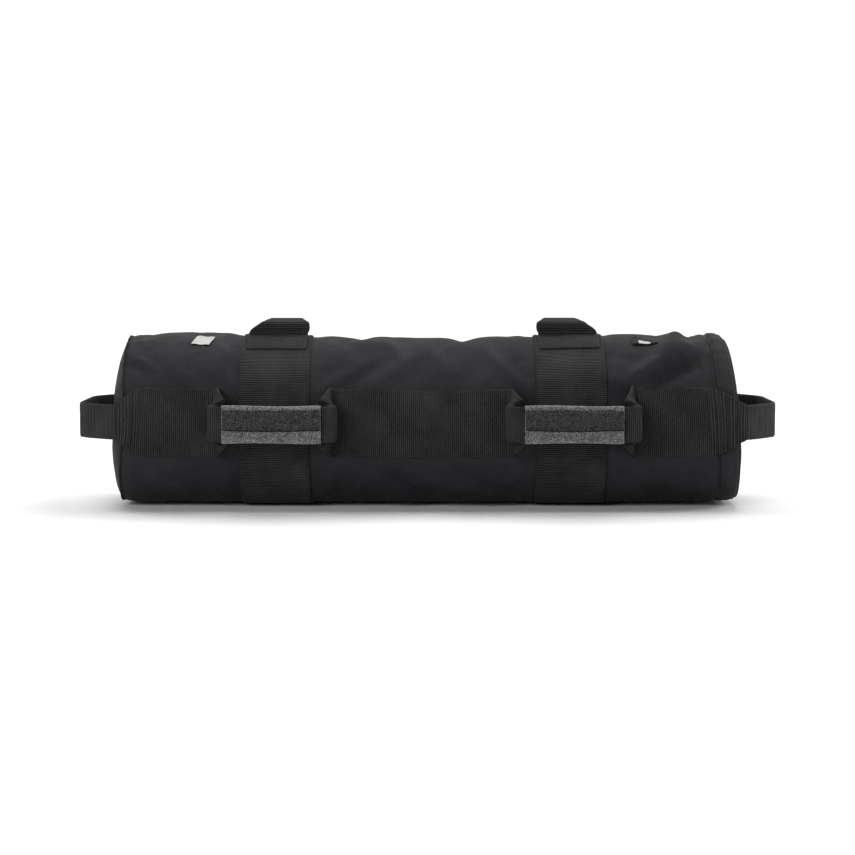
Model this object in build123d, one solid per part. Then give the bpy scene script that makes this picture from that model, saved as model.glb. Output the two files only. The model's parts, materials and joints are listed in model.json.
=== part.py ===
"""Training sandbag with carrying handles: a fabric drum, zipped at one end, holding a sand-filled inner bag.

Frame: X runs along the bag, +X towards the zipped lid. Y runs from the front row of handles to the back
row. Z is up, and Z = 0 is the floor under the two webbing bands. All sizes are in millimetres.
"""

from build123d import *
import os
from math import asin, cos, degrees, radians, sin, sqrt

# ---- Driving dimensions -------------------------------------------------------------------------------

# Shell
shell_radius = 98.0  # outside of the shell fabric
floor_flat_width = 86.0  # the flat that the filled bag settles onto
settle_fillet = 30.0  # soft edge between that flat and the round wall
shell_wall = 1.6
tube_length = 649.0  # from the closed seam to the zip
closed_dome = 19.0  # how far the sand pushes the closed end out
end_panel_wall = 2.0
binding_width = 12.0  # tape sewn over the seam allowance inside
binding_thickness = 1.2

# Zipped lid
zip_gap = 3.0  # between the shell's edge and the lid rim's edge, filled by the coils
lid_depth = 21.5  # width of the rim
lid_dome = 6.0
fold_above_webbing = 2.0  # the lid folds just above the end handle's webbing
fold_gap = 0.6
zip_tape_width = 12.0
zip_tape_thickness = 0.8
zip_coil_width = 1.3
zip_coil_height = 1.8
zip_coil_recess = 0.4  # coils lie this far under the fabric's outside
zip_end_from_flat = 8.0  # degrees between the zip's ends and the floor flat
slider_width = 9.0
slider_length = 12.0
slider_plate = 1.5
slider_crown_height = 3.2
slider_crown_width = 3.4
slider_home = 122.0  # degrees from the top towards the back, with the zip closed
pull_length = 26.0
pull_width = 7.0
pull_thickness = 1.6
pull_pin_radius = 0.8

# Webbing
webbing_width = 76.2
webbing_thickness = 2.0
row_above_axis = 8.0  # the rows of handles lie a little above the bag's axis
closed_margin = 19.0  # from the closed seam to the first sewn panel
outer_panel_length = 82.0
centre_panel_length = 190.0
handle_spans = {"closed_side": 130.0, "zip_side": 138.0}  # free webbing between the sewn panels

# Handles
folded_width = 37.0  # the webbing is folded in where the hand holds it
folded_thickness = 4.6
row_reach = 36.0  # from the shell to the middle of a row handle's grip
end_gaps = {"closed_end": 31.0, "zip_end": 36.5}  # from a bag end to its handle's grip
end_grip_length = 108.0
end_corner_clearance = 9.0  # from a bag end's corner to the webbing that turns round it
top_grip_length = 88.0
leg_lean = 5.0  # the slack webbing leans out past its stitching
leg_thickness = 2.4
taper_start = 6.0  # from a leg's stitching to where it begins to narrow
top_loop_start = -9.0  # degrees from the top towards the back
top_loop_end = 52.0
top_foot_arc = 21.0  # degrees of sewn webbing at each end of a top handle
top_webbing_width = 66.0
top_reach = 20.0  # from the band to the middle of a top handle's grip

# Grip wraps
wrap_length = 106.0
wrap_edge_wall = 1.8  # cloth past the folded webbing's edges
wrap_face_wall = 3.2  # cloth on its two faces
wrap_corner = 4.2
flap_height = 22.0
flap_thickness = 1.4
slot_clearance = 0.2  # webbing in its wrap, all round
wrapped_thickness = 3.2  # the webbing is squeezed flatter inside a wrap

# Inner bag
filler_clearance = 1.4  # to the shell and to the tapes
filler_wall = 1.2
filler_end_gap = 20.0  # from the inner bag's end to the zip
sand_clearance = 0.2
neck_width = 130.0
neck_thickness = 3.0
neck_drop = 70.0
neck_fold = 9.0
closure_strip_height = 25.0
closure_strip_thickness = 1.5
closure_strip_margin = 8.0
pull_loop_width = 25.0
pull_loop_length = 45.0
pull_loop_rise = 12.0

# Labels
label_from_closed_seam = 71.0
label_width = 20.0
label_arc = 12.0  # degrees
label_lead = -24.0  # degrees from the top towards the back, at the label's front edge
label_thickness = 0.5
tab_from_zip = 88.0
tab_width = 30.0
tab_arc = 12.0
tab_lead = -25.0
tab_thickness = 1.4
patch_width = 14.0
patch_arc = 5.0
patch_thickness = 0.5

layer_clearance = 0.05  # between layers of cloth that lie on each other
joint_clearance = 0.3  # between pieces that move on each other

# ---- Places worked out from them -----------------------------------------------------------------------

wrap_height = folded_width + 2 * (slot_clearance + wrap_edge_wall)
wrap_thickness = wrapped_thickness + 2 * (slot_clearance + wrap_face_wall)

shell_base_z = webbing_thickness + layer_clearance
axis_z = shell_base_z + sqrt(shell_radius**2 - (floor_flat_width / 2) ** 2)
row_z = axis_z + row_above_axis
flat_angle = degrees(asin(floor_flat_width / 2 / shell_radius))

bag_length = closed_dome + tube_length + zip_gap + lid_depth + lid_dome
overall_length = bag_length + sum(end_gaps.values()) + 2 * folded_thickness
closed_seam_x = -overall_length / 2 + folded_thickness + end_gaps["closed_end"] + closed_dome
tube_end_x = closed_seam_x + tube_length
zip_x = tube_end_x + zip_gap / 2
rim_start_x = tube_end_x + zip_gap
lid_face_x = rim_start_x + lid_depth
closed_peak_x = closed_seam_x - closed_dome
lid_peak_x = lid_face_x + lid_dome
fold_z = row_z + webbing_width / 2 + fold_above_webbing

panel_1 = (closed_seam_x + closed_margin, closed_seam_x + closed_margin + outer_panel_length)
panel_2_start = panel_1[1] + handle_spans["closed_side"]
panel_2 = (panel_2_start, panel_2_start + centre_panel_length)
panel_3_start = panel_2[1] + handle_spans["zip_side"]
panel_3 = (panel_3_start, panel_3_start + outer_panel_length)
span_centres = {
    "closed_side": (panel_1[1] + panel_2[0]) / 2,
    "zip_side": (panel_2[1] + panel_3[0]) / 2,
}

row_rise = degrees(asin(row_above_axis / shell_radius))
row_half_arc = degrees(webbing_width / 2 / (shell_radius + webbing_thickness / 2))
band_radius = shell_radius + layer_clearance + webbing_thickness
top_grip_radius = band_radius + top_reach
top_grip_half_arc = degrees(top_grip_length / 2 / top_grip_radius)
top_centre = (top_loop_start + top_loop_end) / 2
row_pivot_y = sqrt(shell_radius**2 - row_above_axis**2)
row_grip_y = row_pivot_y + row_reach
end_pivot_x = {"closed_end": panel_1[0], "zip_end": panel_3[1]}
end_grip_x = {
    "closed_end": closed_peak_x - end_gaps["closed_end"] - folded_thickness / 2,
    "zip_end": lid_peak_x + end_gaps["zip_end"] + folded_thickness / 2,
}
end_corner_x = {"closed_end": closed_seam_x, "zip_end": lid_face_x}
zip_arc_end = 180.0 - flat_angle - zip_end_from_flat
slider_travel = slider_home + zip_arc_end - degrees(slider_length / shell_radius)
slider_plate_radius = shell_radius + joint_clearance
crown_radius = slider_plate_radius + slider_plate
pull_pin_r = crown_radius + slider_crown_height / 2
filler_end_x = tube_end_x - filler_end_gap
filler_shrink = shell_wall + zip_tape_thickness + binding_thickness + filler_clearance
far = 4 * overall_length


# ---- Shapes that several pieces share ------------------------------------------------------------------


def section(grow=0.0):
    """The bag's cross-section in the YZ plane, grown outwards: a circle settled onto a flat."""
    outline = Pos(0, axis_z) * Circle(shell_radius + grow)
    outline &= Pos(0, shell_base_z - grow + far / 2) * Rectangle(far, far)
    corners = outline.vertices().sort_by(Axis.Y)[:2]
    return fillet(corners, settle_fillet + grow)


def drum(grow, x_from, x_to):
    """The cross-section extruded along the bag."""
    return extrude(Plane.YZ.offset(x_from) * section(grow), x_to - x_from)


def hoop(grow_in, grow_out, x_from, x_to):
    """A wall of cloth right round the bag."""
    return drum(grow_out, x_from, x_to) - drum(grow_in, x_from - 1, x_to + 1)


def polar(radius, angle):
    """A point of the YZ plane, at an angle from straight up towards the back."""
    return (radius * sin(radians(angle)), axis_z + radius * cos(radians(angle)))


def arc_plate(r_in, r_out, a_from, a_to, x_from, x_to):
    """A plate bent round the bag's axis."""
    middle = (a_from + a_to) / 2
    outline = ThreePointArc(polar(r_out, a_from), polar(r_out, middle), polar(r_out, a_to))
    outline += Line(polar(r_out, a_to), polar(r_in, a_to))
    outline += ThreePointArc(polar(r_in, a_to), polar(r_in, middle), polar(r_in, a_from))
    outline += Line(polar(r_in, a_from), polar(r_out, a_from))
    return extrude(Plane.YZ.offset(x_from) * make_face(outline), x_to - x_from)


def block(x, y, z):
    """A box between two values on each axis."""
    corner = (Align.MIN, Align.MIN, Align.MIN)
    return Pos(x[0], y[0], z[0]) * Box(x[1] - x[0], y[1] - y[0], z[1] - z[0], align=corner)


def dome_radius(rise):
    """Radius of the sphere that bulges by rise across the shell."""
    return (shell_radius**2 + rise**2) / (2 * rise)


def dome_lip(rise):
    """How far the inside of a domed panel reaches back past its seam at the shell's wall."""
    outer, inner = dome_radius(rise), dome_radius(rise) - end_panel_wall
    return sqrt(outer**2 - shell_radius**2) - sqrt(inner**2 - shell_radius**2)


def domed_panel(seam_x, rise, outward):
    """A round end panel pushed out by the sand. outward is 1 towards +X and -1 towards -X."""
    radius = dome_radius(rise)
    centre = Pos(seam_x - outward * (radius - rise), 0, axis_z)
    x_range = sorted((seam_x - outward * 2 * end_panel_wall, seam_x + outward * (rise + 1)))
    lens = drum(0, *x_range) & (centre * Sphere(radius))
    return lens - centre * Sphere(radius - end_panel_wall)


def above_fold(shape):
    return shape & block((-far, far), (-far, far), (fold_z + fold_gap / 2, far))


def below_fold(shape):
    return shape & block((-far, far), (-far, far), (-far, fold_z - fold_gap / 2))


# ---- Shell, bands and sewn panels ----------------------------------------------------------------------


def shell_pieces():
    start = closed_seam_x + dome_lip(closed_dome) + layer_clearance
    pieces = {
        "shell_tube": hoop(-shell_wall, 0, start, tube_end_x),
        "closed_end_panel": domed_panel(closed_seam_x, closed_dome, -1),
    }
    inside = -shell_wall - layer_clearance
    pieces["closed_end_binding"] = hoop(inside - binding_thickness, inside, start, start + binding_width)
    half = webbing_width / 2
    outside = layer_clearance + webbing_thickness
    for side, x in span_centres.items():
        pieces[f"band_{side}"] = hoop(layer_clearance, outside, x - half, x + half)
    return pieces


def sewn_panels():
    """The stretches of the two handle rows that are sewn flat on the shell."""
    pieces = {}
    inner = shell_radius + layer_clearance
    for row, side in (("front", -1), ("back", 1)):
        centre = side * (90 - row_rise)
        arc = (centre - row_half_arc, centre + row_half_arc)
        for name, x in (("closed_end", panel_1), ("centre", panel_2), ("zip_end", panel_3)):
            pieces[f"{row}_panel_{name}"] = arc_plate(inner, inner + webbing_thickness, *arc, *x)
    return pieces


def labels():
    inner = shell_radius + layer_clearance
    x = closed_seam_x + label_from_closed_seam
    arc = (label_lead, label_lead + label_arc)
    pieces = {"woven_label": arc_plate(inner, inner + label_thickness, *arc, x, x + label_width)}
    x = tube_end_x - tab_from_zip
    arc = (tab_lead, tab_lead + tab_arc)
    pieces["loop_tab"] = arc_plate(inner, inner + tab_thickness, *arc, x, x + tab_width)
    outer = inner + tab_thickness + layer_clearance
    x += (tab_width - patch_width) / 2
    arc = (tab_lead, tab_lead + patch_arc)
    pieces["loop_tab_patch"] = arc_plate(outer, outer + patch_thickness, *arc, x, x + patch_width)
    return pieces


# ---- Lid and zip ---------------------------------------------------------------------------------------


def lid_pieces():
    panel = domed_panel(lid_face_x, lid_dome, 1)
    rim = hoop(-shell_wall, 0, rim_start_x, lid_face_x - dome_lip(lid_dome) - layer_clearance)
    return {
        "lid_panel": above_fold(panel),
        "lid_rim": above_fold(rim),
        "lid_lower_panel": below_fold(panel),
        "lid_lower_rim": below_fold(rim),
    }


def zip_half(outward):
    """One side of the zip: its tape under the fabric and its coil in the gap."""
    arc = (-zip_arc_end, zip_arc_end)
    tape_out = shell_radius - shell_wall - layer_clearance
    tape_in = tape_out - zip_tape_thickness
    edge = zip_x + outward * layer_clearance
    tape_x = sorted((edge, edge + outward * (zip_gap / 2 + zip_tape_width)))
    coil_x = sorted((edge, edge + outward * zip_coil_width))
    coil_out = shell_radius - zip_coil_recess
    tape = arc_plate(tape_in, tape_out, *arc, *tape_x)
    return tape + arc_plate(coil_out - zip_coil_height, coil_out, *arc, *coil_x)


def zip_pieces():
    lid_half = zip_half(1)
    reach = zip_gap / 2 - layer_clearance
    stop_in = shell_radius - shell_wall - zip_tape_thickness
    stops = None
    for end in (-1, 1):
        arc = sorted((end * (zip_arc_end + 0.3), end * (zip_arc_end + 2.3)))
        stop = arc_plate(stop_in, shell_radius, *arc, zip_x - reach, zip_x + reach)
        stops = stop if stops is None else stops + stop
    return {
        "zip_shell_half": zip_half(-1),
        "zip_lid_half": above_fold(lid_half),
        "zip_lid_half_lower": below_fold(lid_half),
        "zip_stops": stops,
    }


def zip_slider():
    """Upper and lower plates of the slider, with the crown that holds the pull."""
    half_arc = degrees(slider_length / 2 / shell_radius)
    arc = (slider_home - half_arc, slider_home + half_arc)
    x = (zip_x - slider_width / 2, zip_x + slider_width / 2)
    upper = arc_plate(slider_plate_radius, crown_radius, *arc, *x)
    lower_out = shell_radius - shell_wall - zip_tape_thickness - layer_clearance - joint_clearance
    lower = arc_plate(lower_out - slider_plate, lower_out, *arc, *x)
    crown_arc = degrees(slider_length / 3 / shell_radius)
    crown = arc_plate(
        crown_radius - 0.5,
        crown_radius + slider_crown_height,
        slider_home - crown_arc,
        slider_home + crown_arc,
        zip_x - slider_crown_width / 2,
        zip_x + slider_crown_width / 2,
    )
    y, z = polar(pull_pin_r, slider_home)
    hole = Pos(zip_x, y, z) * Rot(0, 90, 0) * Cylinder(pull_pin_radius + 0.1, slider_width)
    return upper + crown - hole + lower


def zip_pull():
    """A flat tab that hangs straight down from a pin through the crown."""
    gap = slider_crown_width / 2 + joint_clearance
    y, z = polar(pull_pin_r, slider_home)
    pin = Rot(0, 90, 0) * Cylinder(pull_pin_radius, 2 * gap + 2 * pull_thickness)
    from_pin = (Align.CENTER, Align.MIN, Align.CENTER)
    arm = Box(pull_thickness, pull_length / 2, pull_thickness, align=from_pin)
    arms = Pos(gap + pull_thickness / 2) * arm + Pos(-gap - pull_thickness / 2) * arm
    tab_start = slider_length / 2
    tab = Box(pull_width, pull_length - tab_start, pull_thickness, align=from_pin)
    tab = fillet(tab.edges().filter_by(Axis.Z).group_by(Axis.Y)[-1], pull_width / 3)
    return Pos(zip_x, y, z) * Rot(-90, 0, 0) * (pin + arms + Pos(0, tab_start, 0) * tab)


# ---- Handles -------------------------------------------------------------------------------------------


def wrap_profile():
    """Cross-section of a grip wrap, its slot for the folded webbing in the middle."""
    slot = Rectangle(folded_width + 2 * slot_clearance, wrapped_thickness + 2 * slot_clearance)
    return RectangleRounded(wrap_height, wrap_thickness, wrap_corner) - slot


def flap_profile():
    """Cross-section of the wrap's closing flap, hanging from the wrap's upper edge on its outer face."""
    top = wrap_height / 2 - wrap_corner
    outer = wrap_thickness / 2 + joint_clearance
    return Pos(top - flap_height / 2, outer + flap_thickness / 2) * Rectangle(flap_height, flap_thickness)


def straight_grip(origin, along, outward):
    """Wrap and flap of a straight grip. The profile's X is upwards and its Y is outwards."""
    plane = Plane(origin=origin, x_dir=(0, 0, 1), z_dir=along)
    if plane.y_dir.dot(Vector(*outward)) < 0:
        plane = Plane(origin=origin, x_dir=(0, 0, 1), z_dir=tuple(-c for c in along))
    pieces = []
    for profile in (wrap_profile(), flap_profile()):
        pieces.append(extrude(plane * profile, wrap_length / 2, both=True))
    return pieces


def row_handle_webbing(x, span, side):
    """Webbing of a row handle: two legs off the shell, narrowing into the folded part that the hand holds."""
    base = span / 2 - leg_thickness / 2 - layer_clearance
    out = [
        (-base, row_pivot_y - 2 * shell_wall - webbing_width / 4),
        (-base, row_pivot_y + 2 * webbing_thickness),
        (-base - leg_lean, row_pivot_y + row_reach * 0.6),
        (-wrap_length / 2 - leg_lean, row_grip_y),
    ]
    back = [(-u, n) for u, n in reversed(out)]
    path = FilletPolyline(*out, *back, radius=5)
    strip = extrude(trace(path, leg_thickness), webbing_width / 2, both=True)
    near, full, held = row_pivot_y + taper_start, webbing_width / 2, folded_width / 2
    narrow = row_pivot_y + row_reach * 0.8
    outline = Polyline(
        (0, full), (near, full), (narrow, held), (row_grip_y + row_reach, held),
        (row_grip_y + row_reach, -held), (narrow, -held), (near, -full), (0, -full), close=True,
    )
    taper = extrude(Plane.YZ * make_face(outline), far, both=True)
    webbing = Pos(x, 0, row_z) * (strip & taper)
    webbing -= drum(2 * layer_clearance, x - span, x + span)
    return webbing if side > 0 else mirror(webbing, Plane.XZ)


def end_handle(end):
    """Legs and grip of an end handle: the front row's webbing carried round the bag's end to the back row."""
    pivot, grip = abs(end_pivot_x[end]), abs(end_grip_x[end])
    side_y = shell_radius + webbing_thickness
    bend = abs(end_corner_x[end]) + end_corner_clearance
    leg = [(pivot + layer_clearance, side_y), (bend, side_y), (grip, end_grip_length / 2 + leg_lean)]
    path = FilletPolyline(*leg, *[(x, -y) for x, y in reversed(leg)], radius=12)
    strip = extrude(trace(path, leg_thickness), webbing_width / 2, both=True)
    full, held = webbing_width / 2, folded_width / 2
    narrow_from, narrow_to = pivot + taper_start, grip - folded_thickness
    outline = Polyline(
        (0, full), (narrow_from, full), (narrow_to, held), (2 * grip, held),
        (2 * grip, -held), (narrow_to, -held), (narrow_from, -full), (0, -full), close=True,
    )
    legs = Pos(0, 0, row_z) * (strip & extrude(Plane.XZ * make_face(outline), far, both=True))
    half = end_grip_length / 2
    legs &= block((pivot + layer_clearance, far), (-far, far), (-far, far))
    legs -= block((pivot, far), (-half - layer_clearance, half + layer_clearance), (-far, far))
    depth = folded_thickness / 2
    hold = block((grip - depth, grip + depth), (-half, half), (row_z - held, row_z + held))
    hold = fillet(hold.edges().filter_by(Axis.Y), folded_thickness / 3)
    if end == "zip_end":
        return legs, hold
    return mirror(legs, Plane.YZ), mirror(hold, Plane.YZ)


def top_handle(x):
    """Legs and grip of a top handle: off the band in front, along the bag's curve, and back down behind."""
    foot_r = band_radius + 2 * webbing_thickness
    rise_r = (foot_r + top_grip_radius) / 2
    lean = degrees(leg_lean / shell_radius)
    half_arc = top_grip_half_arc
    ends = (top_centre - half_arc - 1, top_centre + half_arc + 1)
    path = Polyline(
        polar(foot_r, top_loop_start + 1),
        polar(rise_r, top_loop_start - lean),
        polar(top_grip_radius, ends[0]),
    )
    path += ThreePointArc(*[polar(top_grip_radius, angle) for angle in (ends[0], top_centre, ends[1])])
    path += Polyline(
        polar(top_grip_radius, ends[1]),
        polar(rise_r, top_loop_end + lean),
        polar(foot_r, top_loop_end - 1),
    )
    strip = extrude(Plane.YZ.offset(x) * trace(path, leg_thickness), top_webbing_width / 2, both=True)
    full, held = top_webbing_width / 2, folded_width / 2
    narrow = top_grip_radius - leg_thickness
    outline = Polyline(
        (-full, shell_radius / 2), (-full, foot_r), (-held, narrow), (-held, 2 * shell_radius),
        (held, 2 * shell_radius), (held, narrow), (full, foot_r), (full, shell_radius / 2), close=True,
    )
    legs = strip & (Pos(x, 0, axis_z) * revolve(Plane.XZ * make_face(outline), Axis.X, 360))
    depth = folded_thickness / 2
    arc = (top_centre - half_arc, top_centre + half_arc)
    hold = arc_plate(top_grip_radius - depth, top_grip_radius + depth, *arc, x - held, x + held)
    cut = (arc[0] - 0.1, arc[1] + 0.1)
    legs -= arc_plate(top_grip_radius - 2 * depth, top_grip_radius + 2 * depth, *cut, x - full, x + full)
    return legs, hold


def top_handle_feet(x):
    """The two sewn ends of a top handle, flat on the band."""
    inner = band_radius + layer_clearance
    half = top_webbing_width / 2
    front = (top_loop_start - top_foot_arc, top_loop_start)
    rear = (top_loop_end, top_loop_end + top_foot_arc)
    feet = [arc_plate(inner, inner + webbing_thickness, *arc, x - half, x + half) for arc in (front, rear)]
    return feet[0] + feet[1]


def handle_pieces():
    pieces = {}
    for row, side in (("front", -1), ("back", 1)):
        for place, x in span_centres.items():
            name = f"{row}_handle_{place}"
            pieces[f"{name}_webbing"] = row_handle_webbing(x, handle_spans[place], side)
            grip = straight_grip((x, side * row_grip_y, row_z), (1, 0, 0), (0, side, 0))
            pieces[f"{name}_wrap"], pieces[f"{name}_flap"] = grip
    for end in end_grip_x:
        name = f"{end}_handle"
        pieces[f"{name}_legs"], pieces[f"{name}_grip"] = end_handle(end)
    for place, x in span_centres.items():
        name = f"top_handle_{place}"
        pieces[f"{name}_legs"], pieces[f"{name}_grip"] = top_handle(x)
        pieces[f"{name}_feet"] = top_handle_feet(x)
    return pieces


# ---- Inner bag -----------------------------------------------------------------------------------------


def filler_neck(face, top):
    """The inner bag's neck, folded over once and hanging down in front of the bag's end."""
    outer = face + neck_fold
    across = (-neck_width / 2, neck_width / 2)
    fold = block((face, outer), across, (top, top + neck_thickness))
    return fold + block((outer - neck_thickness, outer), across, (top - neck_drop, top + 1))


def filler_pull_loop(face, top):
    """A webbing loop that pulls the inner bag out, bowed away from the bag's end."""
    peak, half = face + pull_loop_rise, pull_loop_length / 2
    thick = webbing_thickness
    outline = Polyline(
        (face, half), (face + thick, half), (peak, 0), (face + thick, -half), (face, -half),
        (face, -half + 2 * thick), (peak - thick, 0), (face, half - 2 * thick), close=True,
    )
    return extrude(Plane.XY.offset(top - pull_loop_width) * make_face(outline), pull_loop_width)


def filler_pieces():
    """The inner bag, the sand in it and its fold-over closure."""
    start = closed_seam_x + binding_width + filler_clearance
    bag = drum(-filler_shrink, start, filler_end_x)
    inside = drum(-filler_shrink - filler_wall, start + filler_wall, filler_end_x - filler_wall)
    inset = filler_wall + sand_clearance
    sand = drum(-filler_shrink - inset, start + inset, filler_end_x - inset)
    face = filler_end_x + layer_clearance
    neck_top = axis_z + shell_radius / 2
    across = (-neck_width / 2 + closure_strip_margin, neck_width / 2 - closure_strip_margin)
    low = neck_top - neck_drop + closure_strip_margin
    strip_z = (low, low + closure_strip_height)
    hooks_x = face + neck_fold - neck_thickness - layer_clearance
    return {
        "filler_bag": bag - inside,
        "sand_fill": sand,
        "filler_neck": filler_neck(face, neck_top),
        "filler_hook_strip": block((hooks_x - closure_strip_thickness, hooks_x), across, strip_z),
        "filler_loop_strip": block((face, face + closure_strip_thickness), across, strip_z),
        "filler_pull_loop": filler_pull_loop(face, neck_top - neck_drop - closure_strip_margin),
    }


def all_pieces():
    """Every piece by the name of its node."""
    pieces = {**shell_pieces(), **sewn_panels(), **labels(), **lid_pieces(), **zip_pieces()}
    pieces["zip_slider"] = zip_slider()
    pieces["zip_pull"] = zip_pull()
    pieces.update(handle_pieces())
    pieces.update(filler_pieces())
    return pieces


def main():
    os.makedirs("parts", exist_ok=True)
    for name, shape in all_pieces().items():
        export_step(shape, f"parts/{name}.step")


if __name__ == "__main__":
    main()
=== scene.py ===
"""A cylindrical training sandbag: heavy cloth, ribbed webbing, wrapped grips and a zipped lid."""

import json
import math
from functools import partial

import bmesh
import bpy
from mathutils import Matrix, Vector, noise


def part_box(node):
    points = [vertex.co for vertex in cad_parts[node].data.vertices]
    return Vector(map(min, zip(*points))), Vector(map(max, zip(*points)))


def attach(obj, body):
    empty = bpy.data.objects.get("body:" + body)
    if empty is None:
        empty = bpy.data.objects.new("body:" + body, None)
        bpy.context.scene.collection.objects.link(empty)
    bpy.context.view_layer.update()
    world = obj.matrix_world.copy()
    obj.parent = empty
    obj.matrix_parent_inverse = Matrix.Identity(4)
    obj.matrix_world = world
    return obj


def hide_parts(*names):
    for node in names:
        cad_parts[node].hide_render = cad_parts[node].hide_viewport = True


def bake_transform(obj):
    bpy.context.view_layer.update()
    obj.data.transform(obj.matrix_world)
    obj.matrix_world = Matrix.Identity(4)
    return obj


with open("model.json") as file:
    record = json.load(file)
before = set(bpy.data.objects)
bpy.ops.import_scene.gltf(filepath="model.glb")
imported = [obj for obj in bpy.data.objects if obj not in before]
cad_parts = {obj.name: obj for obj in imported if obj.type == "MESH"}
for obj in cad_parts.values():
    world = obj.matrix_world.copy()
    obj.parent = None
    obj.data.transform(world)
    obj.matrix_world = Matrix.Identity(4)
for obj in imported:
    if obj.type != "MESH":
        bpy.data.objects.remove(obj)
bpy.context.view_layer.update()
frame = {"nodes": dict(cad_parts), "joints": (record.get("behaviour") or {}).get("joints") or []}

bl_info = {
    "name": "Training Sandbag",
    "version": (1, 0, 0),
    "blender": (4, 5, 0),
    "location": "View3D > Sidebar > Sandbag",
    "description": "Builds the cloth, webbing, grips and zip of a training sandbag round its frame",
    "category": "Add Mesh",
}

# ---- Places from the frame, in metres ----

JOINTS = {joint["name"]: joint for joint in frame["joints"]}
SHELL_LOW, SHELL_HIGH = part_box("shell_tube")
RADIUS = (SHELL_HIGH.y - SHELL_LOW.y) / 2
AXIS_Z = JOINTS["zip_slide"]["pos_m"][2]
BASE_Z = SHELL_LOW.z
SEAM_X = SHELL_LOW.x - 0.0022
TUBE_END_X = SHELL_HIGH.x
CLOSED_PEAK_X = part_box("closed_end_panel")[0].x
RIM_START_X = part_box("lid_rim")[0].x
LID_FACE_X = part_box("lid_lower_rim")[1].x + 0.0021
LID_PEAK_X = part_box("lid_lower_panel")[1].x
FILLER_LOW, FILLER_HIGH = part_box("filler_bag")
ZIP_X = JOINTS["zip_slide"]["pos_m"][0]
ROW_Z = JOINTS["front_handle_closed_side_swing"]["pos_m"][2]
ROW_ANGLE = 90 - math.degrees(math.asin((ROW_Z - AXIS_Z) / RADIUS))
WEBBING_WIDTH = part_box("band_zip_side")[1].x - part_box("band_zip_side")[0].x
WEBBING = -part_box("band_zip_side")[0].z + BASE_Z
BANDS = {side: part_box(f"band_{side}") for side in ("closed_side", "zip_side")}
ZIP_ARC_END = 146.0  # degrees from the top to each end of the zip
LAYER = 0.0001  # between layers of cloth

# ---- Cloth shapes ----


def smooth(value, low=0.0, high=1.0):
    """0 below low, 1 above high, and a smooth rise between."""
    t = min(max((value - low) / (high - low), 0.0), 1.0)
    return t * t * (3 - 2 * t)


# Each fold runs from one (x, degrees from the top towards the back) to another, with a half-width and a
# height, all in metres. A negative height is a valley.
FOLDS = (
    ((0.215, -63), (0.296, -27), 0.013, 0.0066),
    ((0.236, -62), (0.300, -43), 0.010, -0.0082),
    ((0.262, -36), (0.287, -10), 0.012, 0.0056),
    ((0.200, -61), (0.212, -44), 0.012, 0.0042),
    ((0.250, -22), (0.258, 4), 0.010, -0.0030),
    ((0.296, -24), (0.303, 12), 0.008, -0.0040),
    ((-0.120, -68), (-0.072, -46), 0.010, 0.0016),
    ((-0.100, -68), (-0.046, -42), 0.010, -0.0020),
    ((-0.084, -66), (-0.005, -34), 0.012, 0.0014),
    ((-0.078, -20), (-0.034, -20), 0.012, 0.0022),
    ((0.078, -42), (0.108, -63), 0.006, 0.0014),
    ((-0.100, -114), (-0.010, -150), 0.012, 0.0022),
    ((-0.070, -112), (0.020, -150), 0.010, -0.0020),
    ((-0.030, -116), (0.100, -150), 0.012, 0.0022),
    ((0.015, -114), (0.110, -146), 0.010, -0.0018),
    ((-0.330, -44), (-0.302, -54), 0.006, -0.0022),
    ((-0.330, -38), (-0.306, -47), 0.006, 0.0016),
    ((-0.312, -126), (-0.280, -140), 0.008, -0.0018),
    ((-0.302, -122), (-0.262, -138), 0.009, 0.0016),
    ((0.222, -118), (0.300, -132), 0.012, 0.0018),
    ((-0.290, 60), (-0.215, 30), 0.014, 0.0030),
    ((-0.040, 62), (0.060, 40), 0.014, 0.0026),
    ((-0.060, 66), (0.030, 46), 0.012, -0.0022),
    ((0.225, 62), (0.296, 36), 0.012, 0.0040),
    ((0.205, 60), (0.285, 22), 0.011, -0.0036),
    ((-0.060, 116), (0.050, 146), 0.013, 0.0024),
    ((0.215, 118), (0.290, 140), 0.012, 0.0022),
    ((-0.310, 120), (-0.240, 140), 0.012, -0.0020),
)


def fold_height(x, angle):
    """Height of the folds at a place on the drum."""
    total = 0.0
    here = Vector((x, math.radians(angle) * RADIUS))
    for start, end, width, height in FOLDS:
        a = Vector((start[0], math.radians(start[1]) * RADIUS))
        b = Vector((end[0], math.radians(end[1]) * RADIUS))
        run = b - a
        t = (here - a).dot(run) / run.length_squared
        if not -0.4 < t < 1.4:
            continue
        off = (here - a - run * t).length
        if off > 3 * width:
            continue
        taper = smooth(t, -0.3, 0.25) * (1 - smooth(t, 0.75, 1.3))
        total += 1.3 * height * taper * math.exp(-((off / width) ** 2))
    return total


def pucker(x, angle):
    """Small gathers where the cloth is sewn to the end seam and the zip."""
    turn = math.radians(angle)
    ripple = math.sin(turn * 41 + 1.3 * math.sin(turn * 7)) + 0.6 * math.sin(turn * 67 + 2)
    near = math.exp(-(((x - SEAM_X) / 0.016) ** 2)) + 0.7 * math.exp(-(((x - TUBE_END_X) / 0.014) ** 2))
    return 0.0005 * ripple * near


def swell(x, angle):
    """Broad unevenness of the sand under the cloth."""
    turn = math.radians(angle)
    place = Vector((x * 11, math.sin(turn) * 1.1, math.cos(turn) * 1.1))
    return 0.0022 * noise.noise(place) + 0.0011 * noise.noise(place * 2.6 + Vector((7, 3, 1)))


def relief(x, angle):
    """Height of the cloth over the plain drum: nothing at the floor."""
    return (fold_height(x, angle) + pucker(x, angle) + swell(x, angle)) * (1 - smooth(abs(angle), 140, 156))


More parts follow.
